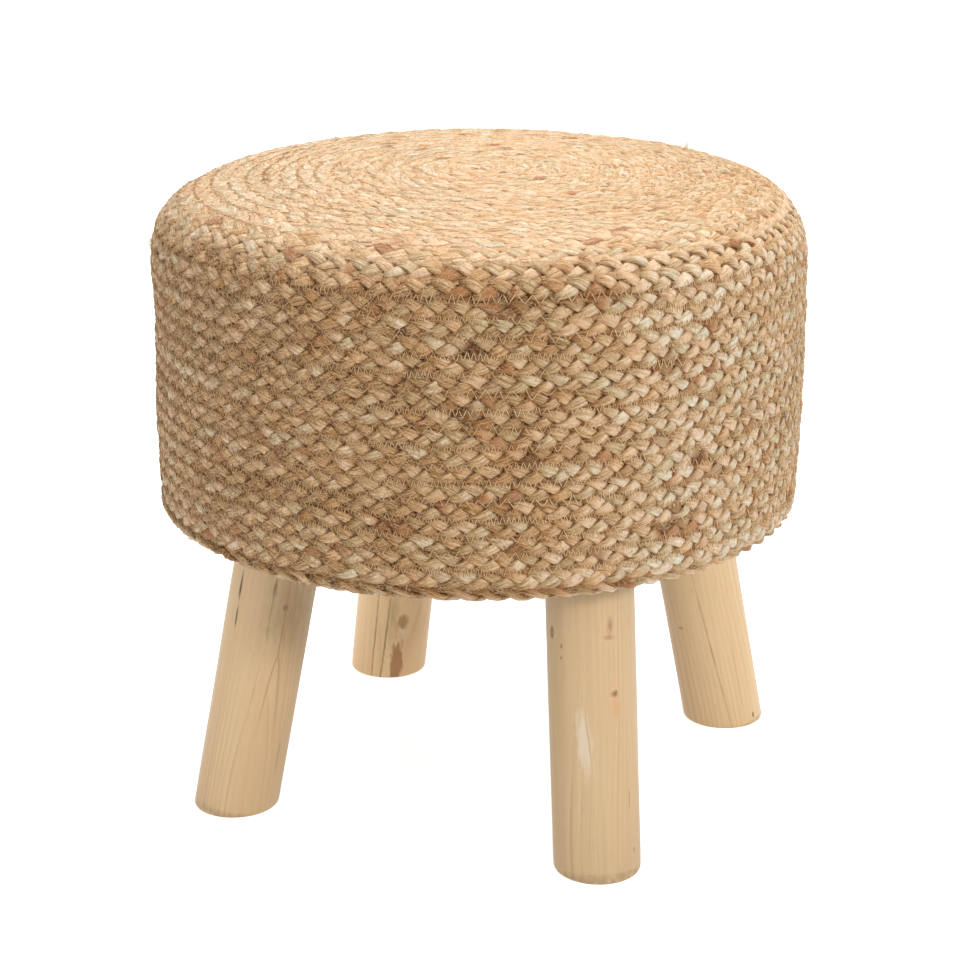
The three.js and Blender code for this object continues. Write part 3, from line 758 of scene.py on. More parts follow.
# %% Fibres and hairs
def fibre_streaks(recipe):
    """Lines along the strand: the coarse and fine together, and the fine ones alone."""
    place = recipe.node("UVMap", uv_map="fibres").outputs[0]
    wander = recipe.noise(recipe.mapped(place, scale=(130, 200, 1)), 1.0, 1.0)
    stray = recipe.node("CombineXYZ", {"Y": recipe.span(wander, 0.3, 0.7, -FIBRE_STRAY, FIBRE_STRAY)})
    strayed = recipe.vector("ADD", place, stray.outputs[0])
    broad = recipe.noise(recipe.mapped(strayed, scale=(70, 640, 1)), 1.0, 1.0)
    fine = recipe.noise(recipe.mapped(strayed, scale=(110, 1300, 1)), 1.0, 1.0)
    return recipe.mix(0.5, broad, fine), fine


def curly_hairs(recipe, place, scale, width):
    """1 along thin curling lines, 0 between them: the places where a noise passes its middle."""
    waves = recipe.noise(place, scale, 1.0)
    off_line = recipe.math("ABSOLUTE", recipe.math("SUBTRACT", waves, 0.5))
    return recipe.span(off_line, 0.0, width, 1.0, 0.0)


def hairy(recipe, colour, amount):
    """Lays fine pale hairs on a colour, each with its shadow just below it."""
    place = recipe.place()
    for scale, width in ((110, 0.018), (180, 0.026), (300, 0.036)):
        hair = curly_hairs(recipe, place, scale, width)
        below = recipe.mapped(place, location=HAIR_SHADOW)
        shadow = curly_hairs(recipe, below, scale, 1.8 * width)
        colour = recipe.mix(recipe.math("MULTIPLY", shadow, amount), colour, (0.40, 0.31, 0.23), "MULTIPLY")
        pale = recipe.math("MULTIPLY", recipe.math("MULTIPLY", hair, amount), 0.9)
        colour = recipe.mix(pale, colour, display(226, 192, 148))
    return colour


# %% Jute finish
def jute_material():
    recipe = Recipe("jute_strands")
    attribute = recipe.node("Attribute", attribute_name="tone")
    tone = recipe.node("SeparateColor", {"Color": attribute.outputs["Color"]}).outputs
    lightness, rust, stain, green = tone[0], tone[1], tone[2], attribute.outputs["Alpha"]
    streak, fine = fibre_streaks(recipe)
    streaked = recipe.math("ADD", lightness, recipe.span(streak, 0.32, 0.68, -0.21, 0.21))
    straw = recipe.ramp(streaked, *STRAW)
    silvery = recipe.mix(recipe.span(green, 0.5, 1.0, 0.0, 0.9), straw, (0.92, 1.10, 1.18), "MULTIPLY")
    orange = recipe.mix(recipe.span(green, 0.5, 0.0, 0.0, 0.9), silvery, (0.98, 0.90, 0.77), "MULTIPLY")
    # The rust channel also carries the redder tint of the painted crease shade, so this ramp tints both.
    rust_tint = recipe.ramp(rust, *RUST)
    rusty = recipe.mix(recipe.span(streak, 0.35, 0.6, 0.4, 1.0), orange, rust_tint, "MULTIPLY")
    stained = recipe.mix(recipe.math("MULTIPLY", stain, 0.9), rusty, (0.26, 0.17, 0.11), "MULTIPLY")
    darker = recipe.span(lightness, 0.66, 0.5, 0.25, 1.0)
    # Painted shade in the gaps between fibre bundles, stronger where the jute is darker.
    gap = recipe.math("MULTIPLY", recipe.span(fine, 0.32, 0.42, 0.55, 0.0), darker)
    gapped = recipe.mix(gap, stained, (0.30, 0.21, 0.13), "MULTIPLY")
    leftwards = recipe.vector("DOT_PRODUCT", recipe.place(), LEFT_OF_DRUM)
    hairs_left = recipe.span(leftwards, -0.05, 0.15, 0.35, 0.8)
    hairs = recipe.math("MULTIPLY", hairs_left, recipe.span(darker, 0, 1, 0.4, 1))
    colour = hairy(recipe, gapped, hairs)
    return recipe.finish(colour, recipe.bump(streak, FIBRE_RELIEF), **JUTE_GLOSS)


jute = jute_material()

# %% [markdown]
# ## Skinning strands, threads and fibres
#
# A strand is a long thin tube with its own section, and so are the thread and each loose fibre. The
# skin joins every ring to the next and closes both ends. One function makes any number of them at
# once, because modelling thousands of crossings by hand would take weeks.


# %% Tube skin
def skin_tubes(name, tube_rings, material, tone=None, lengths=None, rounds=None):
    """Skins tubes given as tubes x steps x sides x 3, closes their ends and puts them in the scene."""
    tubes, steps, sides, _ = tube_rings.shape
    index = np.arange(tubes * steps * sides).reshape(tubes, steps, sides)
    near, far = index[:, :-1], index[:, 1:]
    walls = np.stack([near, np.roll(near, -1, 2), np.roll(far, -1, 2), far], -1)
    ends = np.concatenate([index[:, 0, ::-1], index[:, -1]])
    corners = np.concatenate([walls.ravel(), ends.ravel()])
    wall_count = walls.size // 4
    starts = np.concatenate([np.arange(wall_count) * 4, walls.size + np.arange(len(ends)) * sides])
    mesh = bpy.data.meshes.new(name)
    mesh.vertices.add(index.size)
    mesh.vertices.foreach_set("co", tube_rings.astype(np.float32).ravel())
    mesh.loops.add(len(corners))
    mesh.loops.foreach_set("vertex_index", corners.astype(np.int32))
    mesh.polygons.add(len(starts))
    mesh.polygons.foreach_set("loop_start", starts.astype(np.int32))
    mesh.update(calc_edges=True)
    mesh.shade_smooth()
    if lengths is not None:
        write_fibre_map(mesh, lengths, rounds, walls.size, len(corners))
    if tone is not None:
        layer = mesh.attributes.new("tone", "FLOAT_COLOR", "POINT")
        layer.data.foreach_set("color", tone.astype(np.float32).ravel())
    mesh.materials.append(material)
    piece = bpy.data.objects.new(name, mesh)
    bpy.context.scene.collection.objects.link(piece)
    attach(piece, BODY)
    print(f"{name}: {2 * wall_count + tubes * 2 * (sides - 2)} triangles")
    return piece


def write_fibre_map(mesh, lengths, rounds, wall_corners, all_corners):
    """UV of each wall corner: its length along the strand, and its length round it."""
    start, end = lengths[:, :-1, None], lengths[:, 1:, None]
    left, right = rounds[:, None, :-1], rounds[:, None, 1:]
    shape = np.broadcast_shapes(start.shape, left.shape)
    u = np.stack([np.broadcast_to(x, shape) for x in (start, start, end, end)], -1)
    v = np.stack([np.broadcast_to(x, shape) for x in (left, right, right, left)], -1)
    uv = np.zeros((all_corners, 2), np.float32)
    uv[:wall_corners, 0], uv[:wall_corners, 1] = u.ravel(), v.ravel()
    mesh.uv_layers.new(name="fibres").data.foreach_set("uv", uv.ravel())


# %% [markdown]
# ## The braid, piece by piece
#
# The whole braid has nearly a million faces, so it is cut into stretches that meet end to end: two
# on the top and four down the side. The cuts are where a sewer would join a new length.

# %% Braid pieces
TOP_STRETCHES = 2
SIDE_STRETCHES = 4

section = np.stack(
    [LOBE_HALF_WIDTH * np.cos(SECTION_ANGLES), LOBE_HALF_THICKNESS * np.sin(SECTION_ANGLES)], -1
)
section_steps = np.linalg.norm(np.roll(section, -1, 0) - section, axis=1)
round_lengths = np.concatenate([[0], np.cumsum(section_steps)])
strand_rounds = round_lengths + np.arange(STRANDS)[:, None] * 0.1
strand_lengths = np.broadcast_to(along, (STRANDS, count))
seam_step = int(np.searchsorted(down, seam_length))


def lay_braid(part, first, last, stretches):
    cuts = np.linspace(first, last - 1, stretches + 1).astype(int)
    for number, (start, end) in enumerate(zip(cuts, cuts[1:]), 1):
        stretch = slice(start, end + 1)
        piece = skin_tubes(
            f"jute_braid_{part}_{number}",
            rings[:, stretch],
            jute,
            tones[:, stretch],
            strand_lengths[:, stretch],
            strand_rounds,
        )
        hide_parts(f"jute_cover_{part}")


lay_braid("top", 0, seam_step, TOP_STRETCHES)
lay_braid("side", seam_step - 1, count, SIDE_STRETCHES)

# %% [markdown]
# ## The tucked first end
#
# A braid can't be wound tighter than its own width, so its first turn leaves a small eye. The sewer
# folds the first end flat and tucks it across, under the first turn. It is one short, wide tube that
# narrows towards both ends and droops at them.

# %% Tucked first end
START_REACH = 6.5 * MM
START_HALF_WIDTH = 5.4 * MM
START_HALF_THICKNESS = 1.9 * MM
START_DROOP = 1 * MM
START_SHADE = 0.04
START_STEPS = 7
MIDDLE_TONE = [0.0, 0.0, 0.0, 0.5]
FLAT_ANGLES = np.radians([0, 45, 135, 180, 270])


def tuck_start():
    share = np.linspace(-1, 1, START_STEPS)
    level = seat_top - BRAID_THICKNESS / 2 - PRESSED_ALL_OVER
    centre = np.stack([START_REACH * share, 0 * share, level - START_DROOP * share**2], -1)
    narrowing = np.sqrt(1.15 - share**2)[:, None, None]
    wide = START_HALF_WIDTH * np.cos(FLAT_ANGLES)[:, None] * np.array([0, -1, 0])
    tall = START_HALF_THICKNESS * np.sin(FLAT_ANGLES)[:, None] * np.array([0, 0, 1])
    start_rings = (centre[:, None] + narrowing * (wide + tall))[None]
    tone = np.full((1, START_STEPS, len(FLAT_ANGLES), 4), MIDDLE_TONE)
    tone[..., 0] = TOP_LIGHTNESS - START_SHADE
    rounds = np.linspace(0, 2 * START_HALF_WIDTH, len(FLAT_ANGLES) + 1)[None]
    skin_tubes("tucked_start", start_rings, jute, tone, START_REACH * share[None], rounds)


tuck_start()

# %% [markdown]
# ## Matted seams
#
# Where two rows are pressed together, the fibres of their edges mat into a flat line that closes the
# little gaps between the folds. It lies under the thread, painted darker and redder than the rows as
# shade in the groove between them, and runs along the whole seam from the middle of the top to the
# hem. Like the strands it is a tube laid along the braid's path, only wider than it is thick.

# %% Matted seams
MAT_HALF_WIDTH = 2.8 * MM
MAT_HALF_THICKNESS = 1.3 * MM
MAT_LIFT = 0.5 * MM
TOP_MAT_LIFT = 2.0 * MM
RUBBED_MAT_LIFT = 0.6 * MM
MAT_SHADE = 0.08
TOP_MAT_SHADE = 0.032
MAT_SHADE_TINT = 0.2


def mat_seam(part, first, last, stretches):
    steps = np.arange(first, last, 2)
    angle, length_along = row_angle[steps], along[steps]
    middle = (row_down[steps] + np.interp(turns[steps] + 1, turns, row_down)) / 2
    on_left = np.clip(np.cos(angle - RUBBED_BEARING), 0, 1)
    lift = TOP_MAT_LIFT + (MAT_LIFT + RUBBED_MAT_LIFT * on_left - TOP_MAT_LIFT) * on_side[steps]
    centre = braid_line.in_space(middle, angle, lift)
    outward = braid_line.outward_in_space(middle, angle)
    forward = unit(np.gradient(centre, axis=0))
    side = np.cross(outward, forward)
    wide = MAT_HALF_WIDTH * np.cos(FLAT_ANGLES)[:, None] * side[:, None]
    tall = MAT_HALF_THICKNESS * np.sin(FLAT_ANGLES)[:, None] * outward[:, None]
    seam_rings = (centre[:, None] + wide + tall)[None]
    top_to_side = on_side[steps]
    batch = TOP_LIGHTNESS + (SIDE_LIGHTNESS - TOP_LIGHTNESS) * top_to_side
    # The mat is painted darker and redder than the rows, as shade in the groove between them.
    darker = TOP_MAT_SHADE + (MAT_SHADE - TOP_MAT_SHADE) * top_to_side
    tone = np.full((1, len(steps), len(FLAT_ANGLES), 4), MIDDLE_TONE)
    tone[..., 0] = (batch - darker)[:, None]
    tone[..., 1] = (MAT_SHADE_TINT * top_to_side)[:, None]
    rounds = np.linspace(0, 2 * MAT_HALF_WIDTH, len(FLAT_ANGLES) + 1)[None]
    for number, chosen in enumerate(np.array_split(np.arange(len(steps) - 1), stretches), 1):
        run = slice(chosen[0], chosen[-1] + 2)
        name = f"matted_seam_{part}_{number}"
        run_along = length_along[None, run]
        skin_tubes(name, seam_rings[:, run], jute, tone[:, run], run_along, rounds)


last_seam_step = int(np.searchsorted(turns, turns[-1] - 1))
mat_seam("top", 2, seam_step, 1)
mat_seam("side", seam_step - 2, last_seam_step, 2)

# %% [markdown]
# ## Sewing thread
#
# A zigzag machine sews each row to the one before it. Its thread crosses the seam between two rows in
# long teeth, dives into the jute at every tip and lies tight over the valley between. To lay it on
# the lumpy braid, a ray is sent in from outside at each point of the thread, and the thread rests
# where the ray meets the jute. The machine ran faster in places, so some teeth are close together.

# %% Finding the jute's surface
RAY_START = 9 * MM
RAY_REACH = 16 * MM
braid_pieces = {
    part: [piece for piece in bpy.data.objects if piece.name.startswith(f"jute_braid_{part}")]
    for part in ("top", "side")
}


def surface_height(part, length, angle):
    """How high the jute stands over the braid line at each of these places, seen from outside."""
    starts = braid_line.in_space(length, angle, np.full(len(length), RAY_START))
    ways = -braid_line.outward_in_space(length, angle)
    heights = np.zeros(len(length))
    for number, (start, way) in enumerate(zip(starts.tolist(), ways.tolist())):
        origin, direction = Vector(start), Vector(way)
        for piece in braid_pieces[part]:
            hit, place, _, _ = piece.ray_cast(origin, direction, distance=RAY_REACH)
            if hit:
                heights[number] = max(heights[number], RAY_START - (place - origin).length)
    return heights


# %% Thread finish
def thread_material():
    recipe = Recipe("sewing_thread")
    place = recipe.place()
    patchy = recipe.noise(place, 60.0, 2.0)
    fine = recipe.noise(place, 1500.0, 1.0)
    gold = recipe.ramp(patchy, (0.3, display(220, 176, 124)), (0.7, display(246, 218, 172)))
    twisted = recipe.mix(recipe.span(fine, 0.35, 0.65, 0.0, 0.3), gold, display(176, 130, 84))
    leftwards = recipe.vector("DOT_PRODUCT", place, LEFT_OF_DRUM)
    rubbed = recipe.mix(recipe.span(leftwards, -0.02, 0.12, 0.0, 0.75), twisted, display(176, 138, 96))
    return recipe.finish(rubbed, recipe.bump(fine, 0.2 * MM, 0.5), Roughness=0.6, Specular_IOR_Level=0.3)


thread = thread_material()


# %% Round tubes
TUBE_SIDES = 3
UPWARD_SHARE = 0.03


def tube_rings(paths, radius):
    """Round rings about each point of some paths, given as tubes x steps x 3."""
    forward = unit(np.gradient(paths, axis=1))
    reference = unit(paths * np.array([1, 1, 0]) + np.array([0, 0, UPWARD_SHARE]))
    side = unit(np.cross(forward, reference))
    up = np.cross(side, forward)
    angles = np.arange(TUBE_SIDES) * 2 * np.pi / TUBE_SIDES
    about = np.cos(angles)[:, None] * side[:, :, None] + np.sin(angles)[:, None] * up[:, :, None]
    return paths[:, :, None] + about * np.broadcast_to(radius, paths.shape[:2])[..., None, None]


# %% Thread sizes
SIDE_SEAM = {"tooth_reach": 3.0 * MM, "tip_depth": 0.2 * MM, "radius": 0.29 * MM, "stretches": 2}
TOP_SEAM = {"tooth_reach": 1.8 * MM, "tip_depth": 0.5 * MM, "radius": 0.2 * MM, "stretches": 1}
SHORT_TOOTH = 1.6 * MM
LONG_TOOTH = 4.2 * MM
MACHINE_REACH = 45 * MM
STEPS_PER_TOOTH = 4
MACHINE_CHANGE = 1.2
TOOTH_RANGE = (0.7, 1.3)
TIP_RANGE = (0.65, 1.2)


# %% Zigzag path
def needle_tips(start, end, tooth_reach):
    """Where the needle goes in: how far along the braid, and how far to which side of the seam."""
    pace_drift = drift(int((end - start) / BRAID_STEP) + 2, BRAID_STEP, MACHINE_REACH)
    longer = ease(pace_drift, -MACHINE_CHANGE, MACHINE_CHANGE)
    place = start
    direction = 1
    tips = []
    while place < end:
        tooth = SHORT_TOOTH + (LONG_TOOTH - SHORT_TOOTH) * longer[int((place - start) / BRAID_STEP)]
        place += tooth * random.uniform(*TOOTH_RANGE)
        tips.append((place, direction * tooth_reach * random.uniform(*TIP_RANGE)))
        direction = -direction
    return np.array(tips)


def sew(part, first_turn, last_turn, tooth_reach, tip_depth, radius, stretches):
    start, end = np.interp([first_turn, last_turn], turns, along)
    tips = needle_tips(start, end, tooth_reach)
    knots = np.arange(len(tips))
    steps = np.linspace(0, len(tips) - 1, (len(tips) - 1) * STEPS_PER_TOOTH + 1)
    turn = np.interp(np.interp(steps, knots, tips[:, 0]), along, turns)
    seam = (np.interp(turn, turns, row_down) + np.interp(turn + 1, turns, row_down)) / 2
    length = seam + np.interp(steps, knots, tips[:, 1])
    angle = 2 * np.pi * turn
    height = surface_height(part, length, angle)
    taut = (np.roll(height, 1) + np.roll(height, -1)) / 2
    at_tip = np.arange(len(steps)) % STEPS_PER_TOOTH == 0
    height = np.where(at_tip, height - tip_depth, np.maximum(height, taut) + radius)
    path = braid_line.in_space(length, angle, height)
    for number, stretch in enumerate(np.array_split(np.arange(len(path) - 1), stretches), 1):
        points = path[stretch[0] : stretch[-1] + 2][None]
        skin_tubes(f"sewing_thread_{part}_{number}", tube_rings(points, radius), thread)


# %% Sewing
FIRST_SEWN_TURN = 0.6
UNSEWN_BEFORE_SEAM = 1.2
SEWN_OVER_SEAM = 0.2
UNSEWN_AT_HEM = 3.2

seam_turn = float(np.interp(seam_length, down, turns))
sew("top", FIRST_SEWN_TURN, seam_turn - UNSEWN_BEFORE_SEAM, **TOP_SEAM)
sew("side", seam_turn - SEWN_OVER_SEAM, turns[-1] - UNSEWN_AT_HEM, **SIDE_SEAM)

# %% [markdown]
# ## Loose fibres
#
# Jute sheds. Short fibres stand off the whole cover, most of them lying nearly flat in curls, some
# reaching a few millimetres out, where they blur the outline. Each one is a thin tapering tube that
# starts in the jute. Bundles of a few fibres crowd on the left, which was rubbed the most, and finer
# loops on the right. They are far too many to comb by hand, so their places, ways and curls are
# drawn at random.

# %% Fluff finishes
def fluff_material(name, brown, tan, pale):
    recipe = Recipe(name)
    tint = recipe.noise(recipe.place(), 190.0, 1.0)
    fluff = recipe.ramp(tint, (0.32, brown), (0.5, tan), (0.68, pale))
    return recipe.finish(fluff, **JUTE_GLOSS)


LOOSE_TINTS = (display(140, 98, 58), display(202, 164, 118), display(234, 210, 172))
FRAYED_TINTS = (display(214, 166, 118), display(232, 192, 148), display(242, 216, 180))
loose_jute = fluff_material("loose_jute", *LOOSE_TINTS)
frayed_jute = fluff_material("frayed_jute", *FRAYED_TINTS)

# %% Fibre sizes
FIBRE_STEPS = 5
FIBRE_RADIUS = 0.09 * MM
LOOP_RADIUS = 0.14 * MM
BUNDLE_RADIUS = 0.2 * MM
TAPER = 0.6
CURL = 1.3
ARCH_RANGE = (1.3, 3.0)
ROOT_DEPTH = 0.4 * MM
BARE_MIDDLE = 10 * MM
BARE_HEM = 15 * MM
LEAST_RADIUS = 20 * MM
PLACES_TO_DRAW = 4000
CROWDING = 0.6
LOOPED_BEARING = math.radians(15)


# %% Scattering fibres
def fibre_roots(part, amount, crowding, crowd_bearing):
    """Random places on a part of the cover, evenly over its area but crowded at a bearing."""
    area_down = np.linspace(BARE_MIDDLE, braid_line.end - BARE_HEM, PLACES_TO_DRAW)
    in_part = area_down < seam_length if part == "top" else area_down > seam_length
    weight = braid_line.at(area_down)[0][:, 0] * in_part
    length = random.choice(area_down, amount, p=weight / weight.sum())
    angle = random.uniform(0, 2 * np.pi, amount)
    return length, angle - crowding * np.sin(angle - crowd_bearing)


def walked(steps):
    """How far each fibre has come at each of its points, from nothing at its root."""
    return np.concatenate([np.zeros((len(steps), 1)), np.cumsum(steps, 1)[:, :-1]], 1)


def scatter_fibres(name, part, amount, reach, lift, radius, crowding=0.0, crowd_bearing=RUBBED_BEARING):
    """Fibres with their reach and their lift drawn between two values each."""
    length, angle = fibre_roots(part, amount, crowding, crowd_bearing)
    fibre = random.uniform(*reach, amount)
    bearing = random.uniform(0, 2 * np.pi, amount)
    curl = random.normal(0, CURL, amount)
    rise = random.uniform(*lift, amount)
    share = np.linspace(0, 1, FIBRE_STEPS)
    turned = bearing[:, None] + curl[:, None] * share
    step = fibre[:, None] / (FIBRE_STEPS - 1)
    sideways = walked(np.cos(turned) * step)
    downwards = walked(np.sin(turned) * step)
    radius_there = np.maximum(braid_line.at(length)[0][:, :1], LEAST_RADIUS)
    root = surface_height(part, length, angle) - ROOT_DEPTH
    arch = np.sin(share * random.uniform(*ARCH_RANGE, amount)[:, None])
    height = root[:, None] + rise[:, None] * arch
    angles = angle[:, None] + sideways / radius_there
    path = braid_line.in_space(length[:, None] + downwards, angles, height)
    return skin_tubes(name, tube_rings(path, radius * (1 - TAPER * share)), loose_jute)


# %% Loose fibres
SHORT_REACH = (3 * MM, 6 * MM)
MIDDLE_REACH = (3 * MM, 7 * MM)
LONG_REACH = (3 * MM, 8 * MM)
LOW_LIFT = (0.5 * MM, 0.8 * MM)
MIDDLE_LIFT = (0.5 * MM, 0.9 * MM)
HIGH_LIFT = (0.6 * MM, 1.5 * MM)

scatter_fibres("loose_fibres_side", "side", 7000, LONG_REACH, HIGH_LIFT, FIBRE_RADIUS)
for layer in (1, 2):
    name = f"loose_bundles_side_{layer}"
    scatter_fibres(name, "side", 3500, LONG_REACH, LOW_LIFT, BUNDLE_RADIUS, CROWDING)
scatter_fibres("loose_fibres_top", "top", 3600, MIDDLE_REACH, MIDDLE_LIFT, FIBRE_RADIUS, CROWDING)
name = "loose_loops_side"
scatter_fibres(name, "side", 3500, SHORT_REACH, MIDDLE_LIFT, LOOP_RADIUS, CROWDING, LOOPED_BEARING)

# %% Frayed tufts
TUFT_SPREAD = 0.35
TUFT_SHARE_RANGE = (0.4, 1.0)
TUFT_ROOT = 1.5 * MM
TUFT_ROOT_ANGLE = 0.008
TUFT_ROOT_DEPTH = 1 * MM
TUFTS = [
    {"bearing": -157, "below_seam": 24 * MM, "amount": 50, "reach": 6 * MM, "out": 0.8, "fall": 0.0},
    {"bearing": 55, "below_seam": -34 * MM, "amount": 36, "reach": 9 * MM, "out": 0.9, "fall": -0.1},
    {"bearing": -133, "below_seam": 184 * MM, "amount": 60, "reach": 7 * MM, "out": 0.8, "fall": 0.3},
    {"bearing": -100, "below_seam": 176 * MM, "amount": 5, "reach": 16 * MM, "out": 0.2, "fall": 0.9},
    {"bearing": -82, "below_seam": 178 * MM, "amount": 4, "reach": 13 * MM, "out": 0.15, "fall": 0.9},
]


def fray(tuft):
    """Fibres that leave the jute at one place and fan out, as rings."""
    amount = tuft["amount"]
    length = seam_length + tuft["below_seam"] + random.normal(0, TUFT_ROOT, amount)
    angle = math.radians(tuft["bearing"]) + random.normal(0, TUFT_ROOT_ANGLE, amount)
    root = braid_line.in_space(length, angle, np.full(amount, BRAID_THICKNESS / 2 - TUFT_ROOT_DEPTH))
    outward = braid_line.outward_in_space(length, angle)
    way = outward * tuft["out"] + np.array([0, 0, -1]) * tuft["fall"]
    way = way + random.normal(0, TUFT_SPREAD, (amount, 3))
    bend = random.normal(0, TUFT_SPREAD, (amount, 3))
    reach = tuft["reach"] * random.uniform(*TUFT_SHARE_RANGE, (amount, 1, 1))
    share = np.linspace(0, 1, FIBRE_STEPS)[None, :, None]
    path = root[:, None] + reach * (way[:, None] * share + bend[:, None] * share**2)
    return tube_rings(path, FIBRE_RADIUS * (1 - TAPER * share[..., 0]))


tuft_rings = np.concatenate([fray(tuft) for tuft in TUFTS])
skin_tubes("frayed_tufts", tuft_rings, frayed_jute)

# %% [markdown]
# ## Modelling helpers
#
# The wooden and padded pieces are modelled the way a hand would at the screen: add a primitive,
# select some of it by its place, then move, scale, bevel or extrude what is selected. A modifier's
# work is applied at once, so that what is seen is what the mesh holds.


# %% Modelling helpers
def start_piece(name):
    """Names the primitive that was just added and puts its place into its mesh."""
    piece = bpy.context.object
    piece.name = name
    bpy.ops.object.transform_apply(location=True, rotation=True, scale=True)
    return piece


def edit(piece, select):
    """Goes into edit mode with only the vertices selected whose place passes the test."""
    bpy.ops.object.mode_set(mode="EDIT")
    bpy.ops.mesh.select_mode(type="VERT")
    bpy.ops.mesh.select_all(action="DESELECT")
    bpy.ops.object.mode_set(mode="OBJECT")
    for vertex in piece.data.vertices:
        vertex.select = bool(select(vertex.co))
    bpy.ops.object.mode_set(mode="EDIT")


def select_edges(piece, select):
    """Goes into edit mode with only the edges selected whose two ends pass the test."""
    bpy.ops.object.mode_set(mode="EDIT")
    bpy.ops.mesh.select_mode(type="EDGE")
    bpy.ops.mesh.select_all(action="DESELECT")
    bpy.ops.object.mode_set(mode="OBJECT")
    places = [vertex.co for vertex in piece.data.vertices]
    for edge in piece.data.edges:
        edge.select = bool(select(*(places[end] for end in edge.vertices)))
    bpy.ops.object.mode_set(mode="EDIT")


def leave_edit():
    bpy.ops.object.mode_set(mode="OBJECT")


# %% Unevenness, holes and dressing
def roughen(piece, size, strength, group=""):
    """Moves the surface in and out a little, in soft waves of a size."""
    waves = bpy.data.textures.new(piece.name + "_waves", "CLOUDS")
    waves.noise_scale = size
    modifier = piece.modifiers.new("waves", "DISPLACE")
    modifier.texture = waves
    modifier.strength = strength
    modifier.mid_level = 0.5
    modifier.vertex_group = group
    bpy.ops.object.modifier_apply(modifier=modifier.name)


def hollow_out(piece, cutters):
    """Cuts other objects' shapes out of a piece and removes them."""
    for cutter in cutters:
        modifier = piece.modifiers.new("cut", "BOOLEAN")
        modifier.operation = "DIFFERENCE"
        modifier.object = cutter
        modifier.solver = "EXACT"
        bpy.context.view_layer.objects.active = piece
        bpy.ops.object.modifier_apply(modifier=modifier.name)
        bpy.data.objects.remove(cutter)


def dress(piece, material, slot, *nodes):
    """Gives a finished piece its finish and its body, and hides the nodes that it stands for."""
    piece.data.materials.clear()
    piece.data.materials.append(material)
    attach(piece, BODY)
    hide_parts(*nodes)
    print(f"{piece.name}: {len(piece.data.polygons)} faces")


# %% [markdown]
# ## Pine for the legs
#
# Each leg is a turned pole of pine with its own grain. A tree's rings are cylinders round the pith,
# and the pole was cut beside the pith and a little askew to it. So the ring that a point lies in
# follows from its distance to a slanting line, and the turned surface cuts the rings in long arches
# and close upright lines. The pattern is laid in the leg's own directions: along the pole and
# across it. Its knots, cracks, resin, scuffs and patches of painted shadow from the seat are placed
# by how far up the pole they are and how far round it, where nothing means towards the stool's front.

# %% Pine
RING_SPACING = 3.1 * MM
RING_SWAY = 4 * MM
PINE_PALE = display(234, 207, 165)
PINE_MID = display(223, 191, 145)
PINE_LATE = display(192, 149, 102)
LEG_FOOT_RADIUS = 25.7 * MM
LEG_TOP_RADIUS = 26.2 * MM


def ring_colour(recipe, own, pith, slant):
    """The yearly rings round a slanting pith, each pale in spring and dark in late summer."""
    x, y, z = recipe.node("SeparateXYZ", {0: own}).outputs
    sway = recipe.noise(recipe.mapped(own, scale=(9, 9, 5)), 1.0, 2.0)
    swayed = recipe.span(sway, 0.2, 0.8, -RING_SWAY, RING_SWAY)
    across_x = recipe.math("ADD", recipe.math("MULTIPLY_ADD", z, slant[0], x), -pith[0])
    across_y = recipe.math("ADD", recipe.math("MULTIPLY_ADD", z, slant[1], y), -pith[1])
    flat = recipe.node("CombineXYZ", {"X": across_x, "Y": across_y, "Z": 0.0}).outputs[0]
    reach = recipe.math("ADD", recipe.vector("LENGTH", flat), swayed)
    ring = recipe.math("FRACT", recipe.math("DIVIDE", reach, RING_SPACING))
    grain = recipe.ramp(ring, (0.0, PINE_PALE), (0.6, PINE_MID), (0.88, PINE_LATE), (0.95, PINE_PALE))
    fading = recipe.noise(recipe.mapped(own, scale=(60, 60, 12)), 1.0, 1.0)
    uneven = recipe.noise(recipe.node("CombineXYZ", {"X": reach}).outputs[0], 230.0, 0.0)
    faint = recipe.span(fading, 0.35, 0.7, 0.05, 0.4)
    strong = recipe.math("MULTIPLY", faint, recipe.span(uneven, 0.35, 0.65, 0.2, 1.5))
    return recipe.mix(strong, PINE_MID, grain)


def pine_recipe(name, foot, axis_turn, pith, slant, tone):
    """The grain of one pole: its colour, its relief and its own coordinates, still to be finished."""
    recipe = Recipe(name)
    own = recipe.mapped(recipe.place(), "TEXTURE", location=foot, rotation=axis_turn)
    rings = ring_colour(recipe, own, pith, slant)
    fibres = recipe.noise(recipe.mapped(own, scale=(420, 420, 9)), 1.0, 3.0)
    streaked = recipe.mix(recipe.span(fibres, 0.4, 0.75, 0.0, 0.25), rings, display(200, 162, 116))
    ducts = recipe.noise(recipe.mapped(own, scale=(1100, 1100, 110)), 1.0, 1.0)
    flecked = recipe.mix(recipe.span(ducts, 0.66, 0.78, 0.0, 0.3), streaked, display(176, 136, 92))
    cloudy = recipe.noise(recipe.mapped(own, scale=(30, 30, 8)), 1.0, 2.0)
    warmed = recipe.mix(recipe.span(cloudy, 0.42, 0.7, 0.0, 0.3), flecked, display(226, 184, 136))
    # Each leg's tone: partly its board's own, partly painted light that evens out the lamps.
    board_and_light_toned = recipe.mix(1.0, warmed, (tone, tone, tone), "MULTIPLY")
    return recipe, own, board_and_light_toned, fibres


# %% Marks in the pine
KNOT = display(134, 92, 58)
KNOT_HEART = display(190, 146, 100)
BLUSH = display(218, 162, 118)
FAINT_BLUSH = display(220, 176, 132)
CHALK = display(232, 216, 194)
CRACK = display(92, 62, 36)
GREY_LINE = display(168, 142, 104)
RED_LINE = display(196, 144, 104)
RESIN = display(190, 140, 94)
# Painted shadow of the seat, laid as a mark on the legs.
SHADE = display(190, 156, 112)
FOOT_RIM_DARK = display(150, 118, 82)


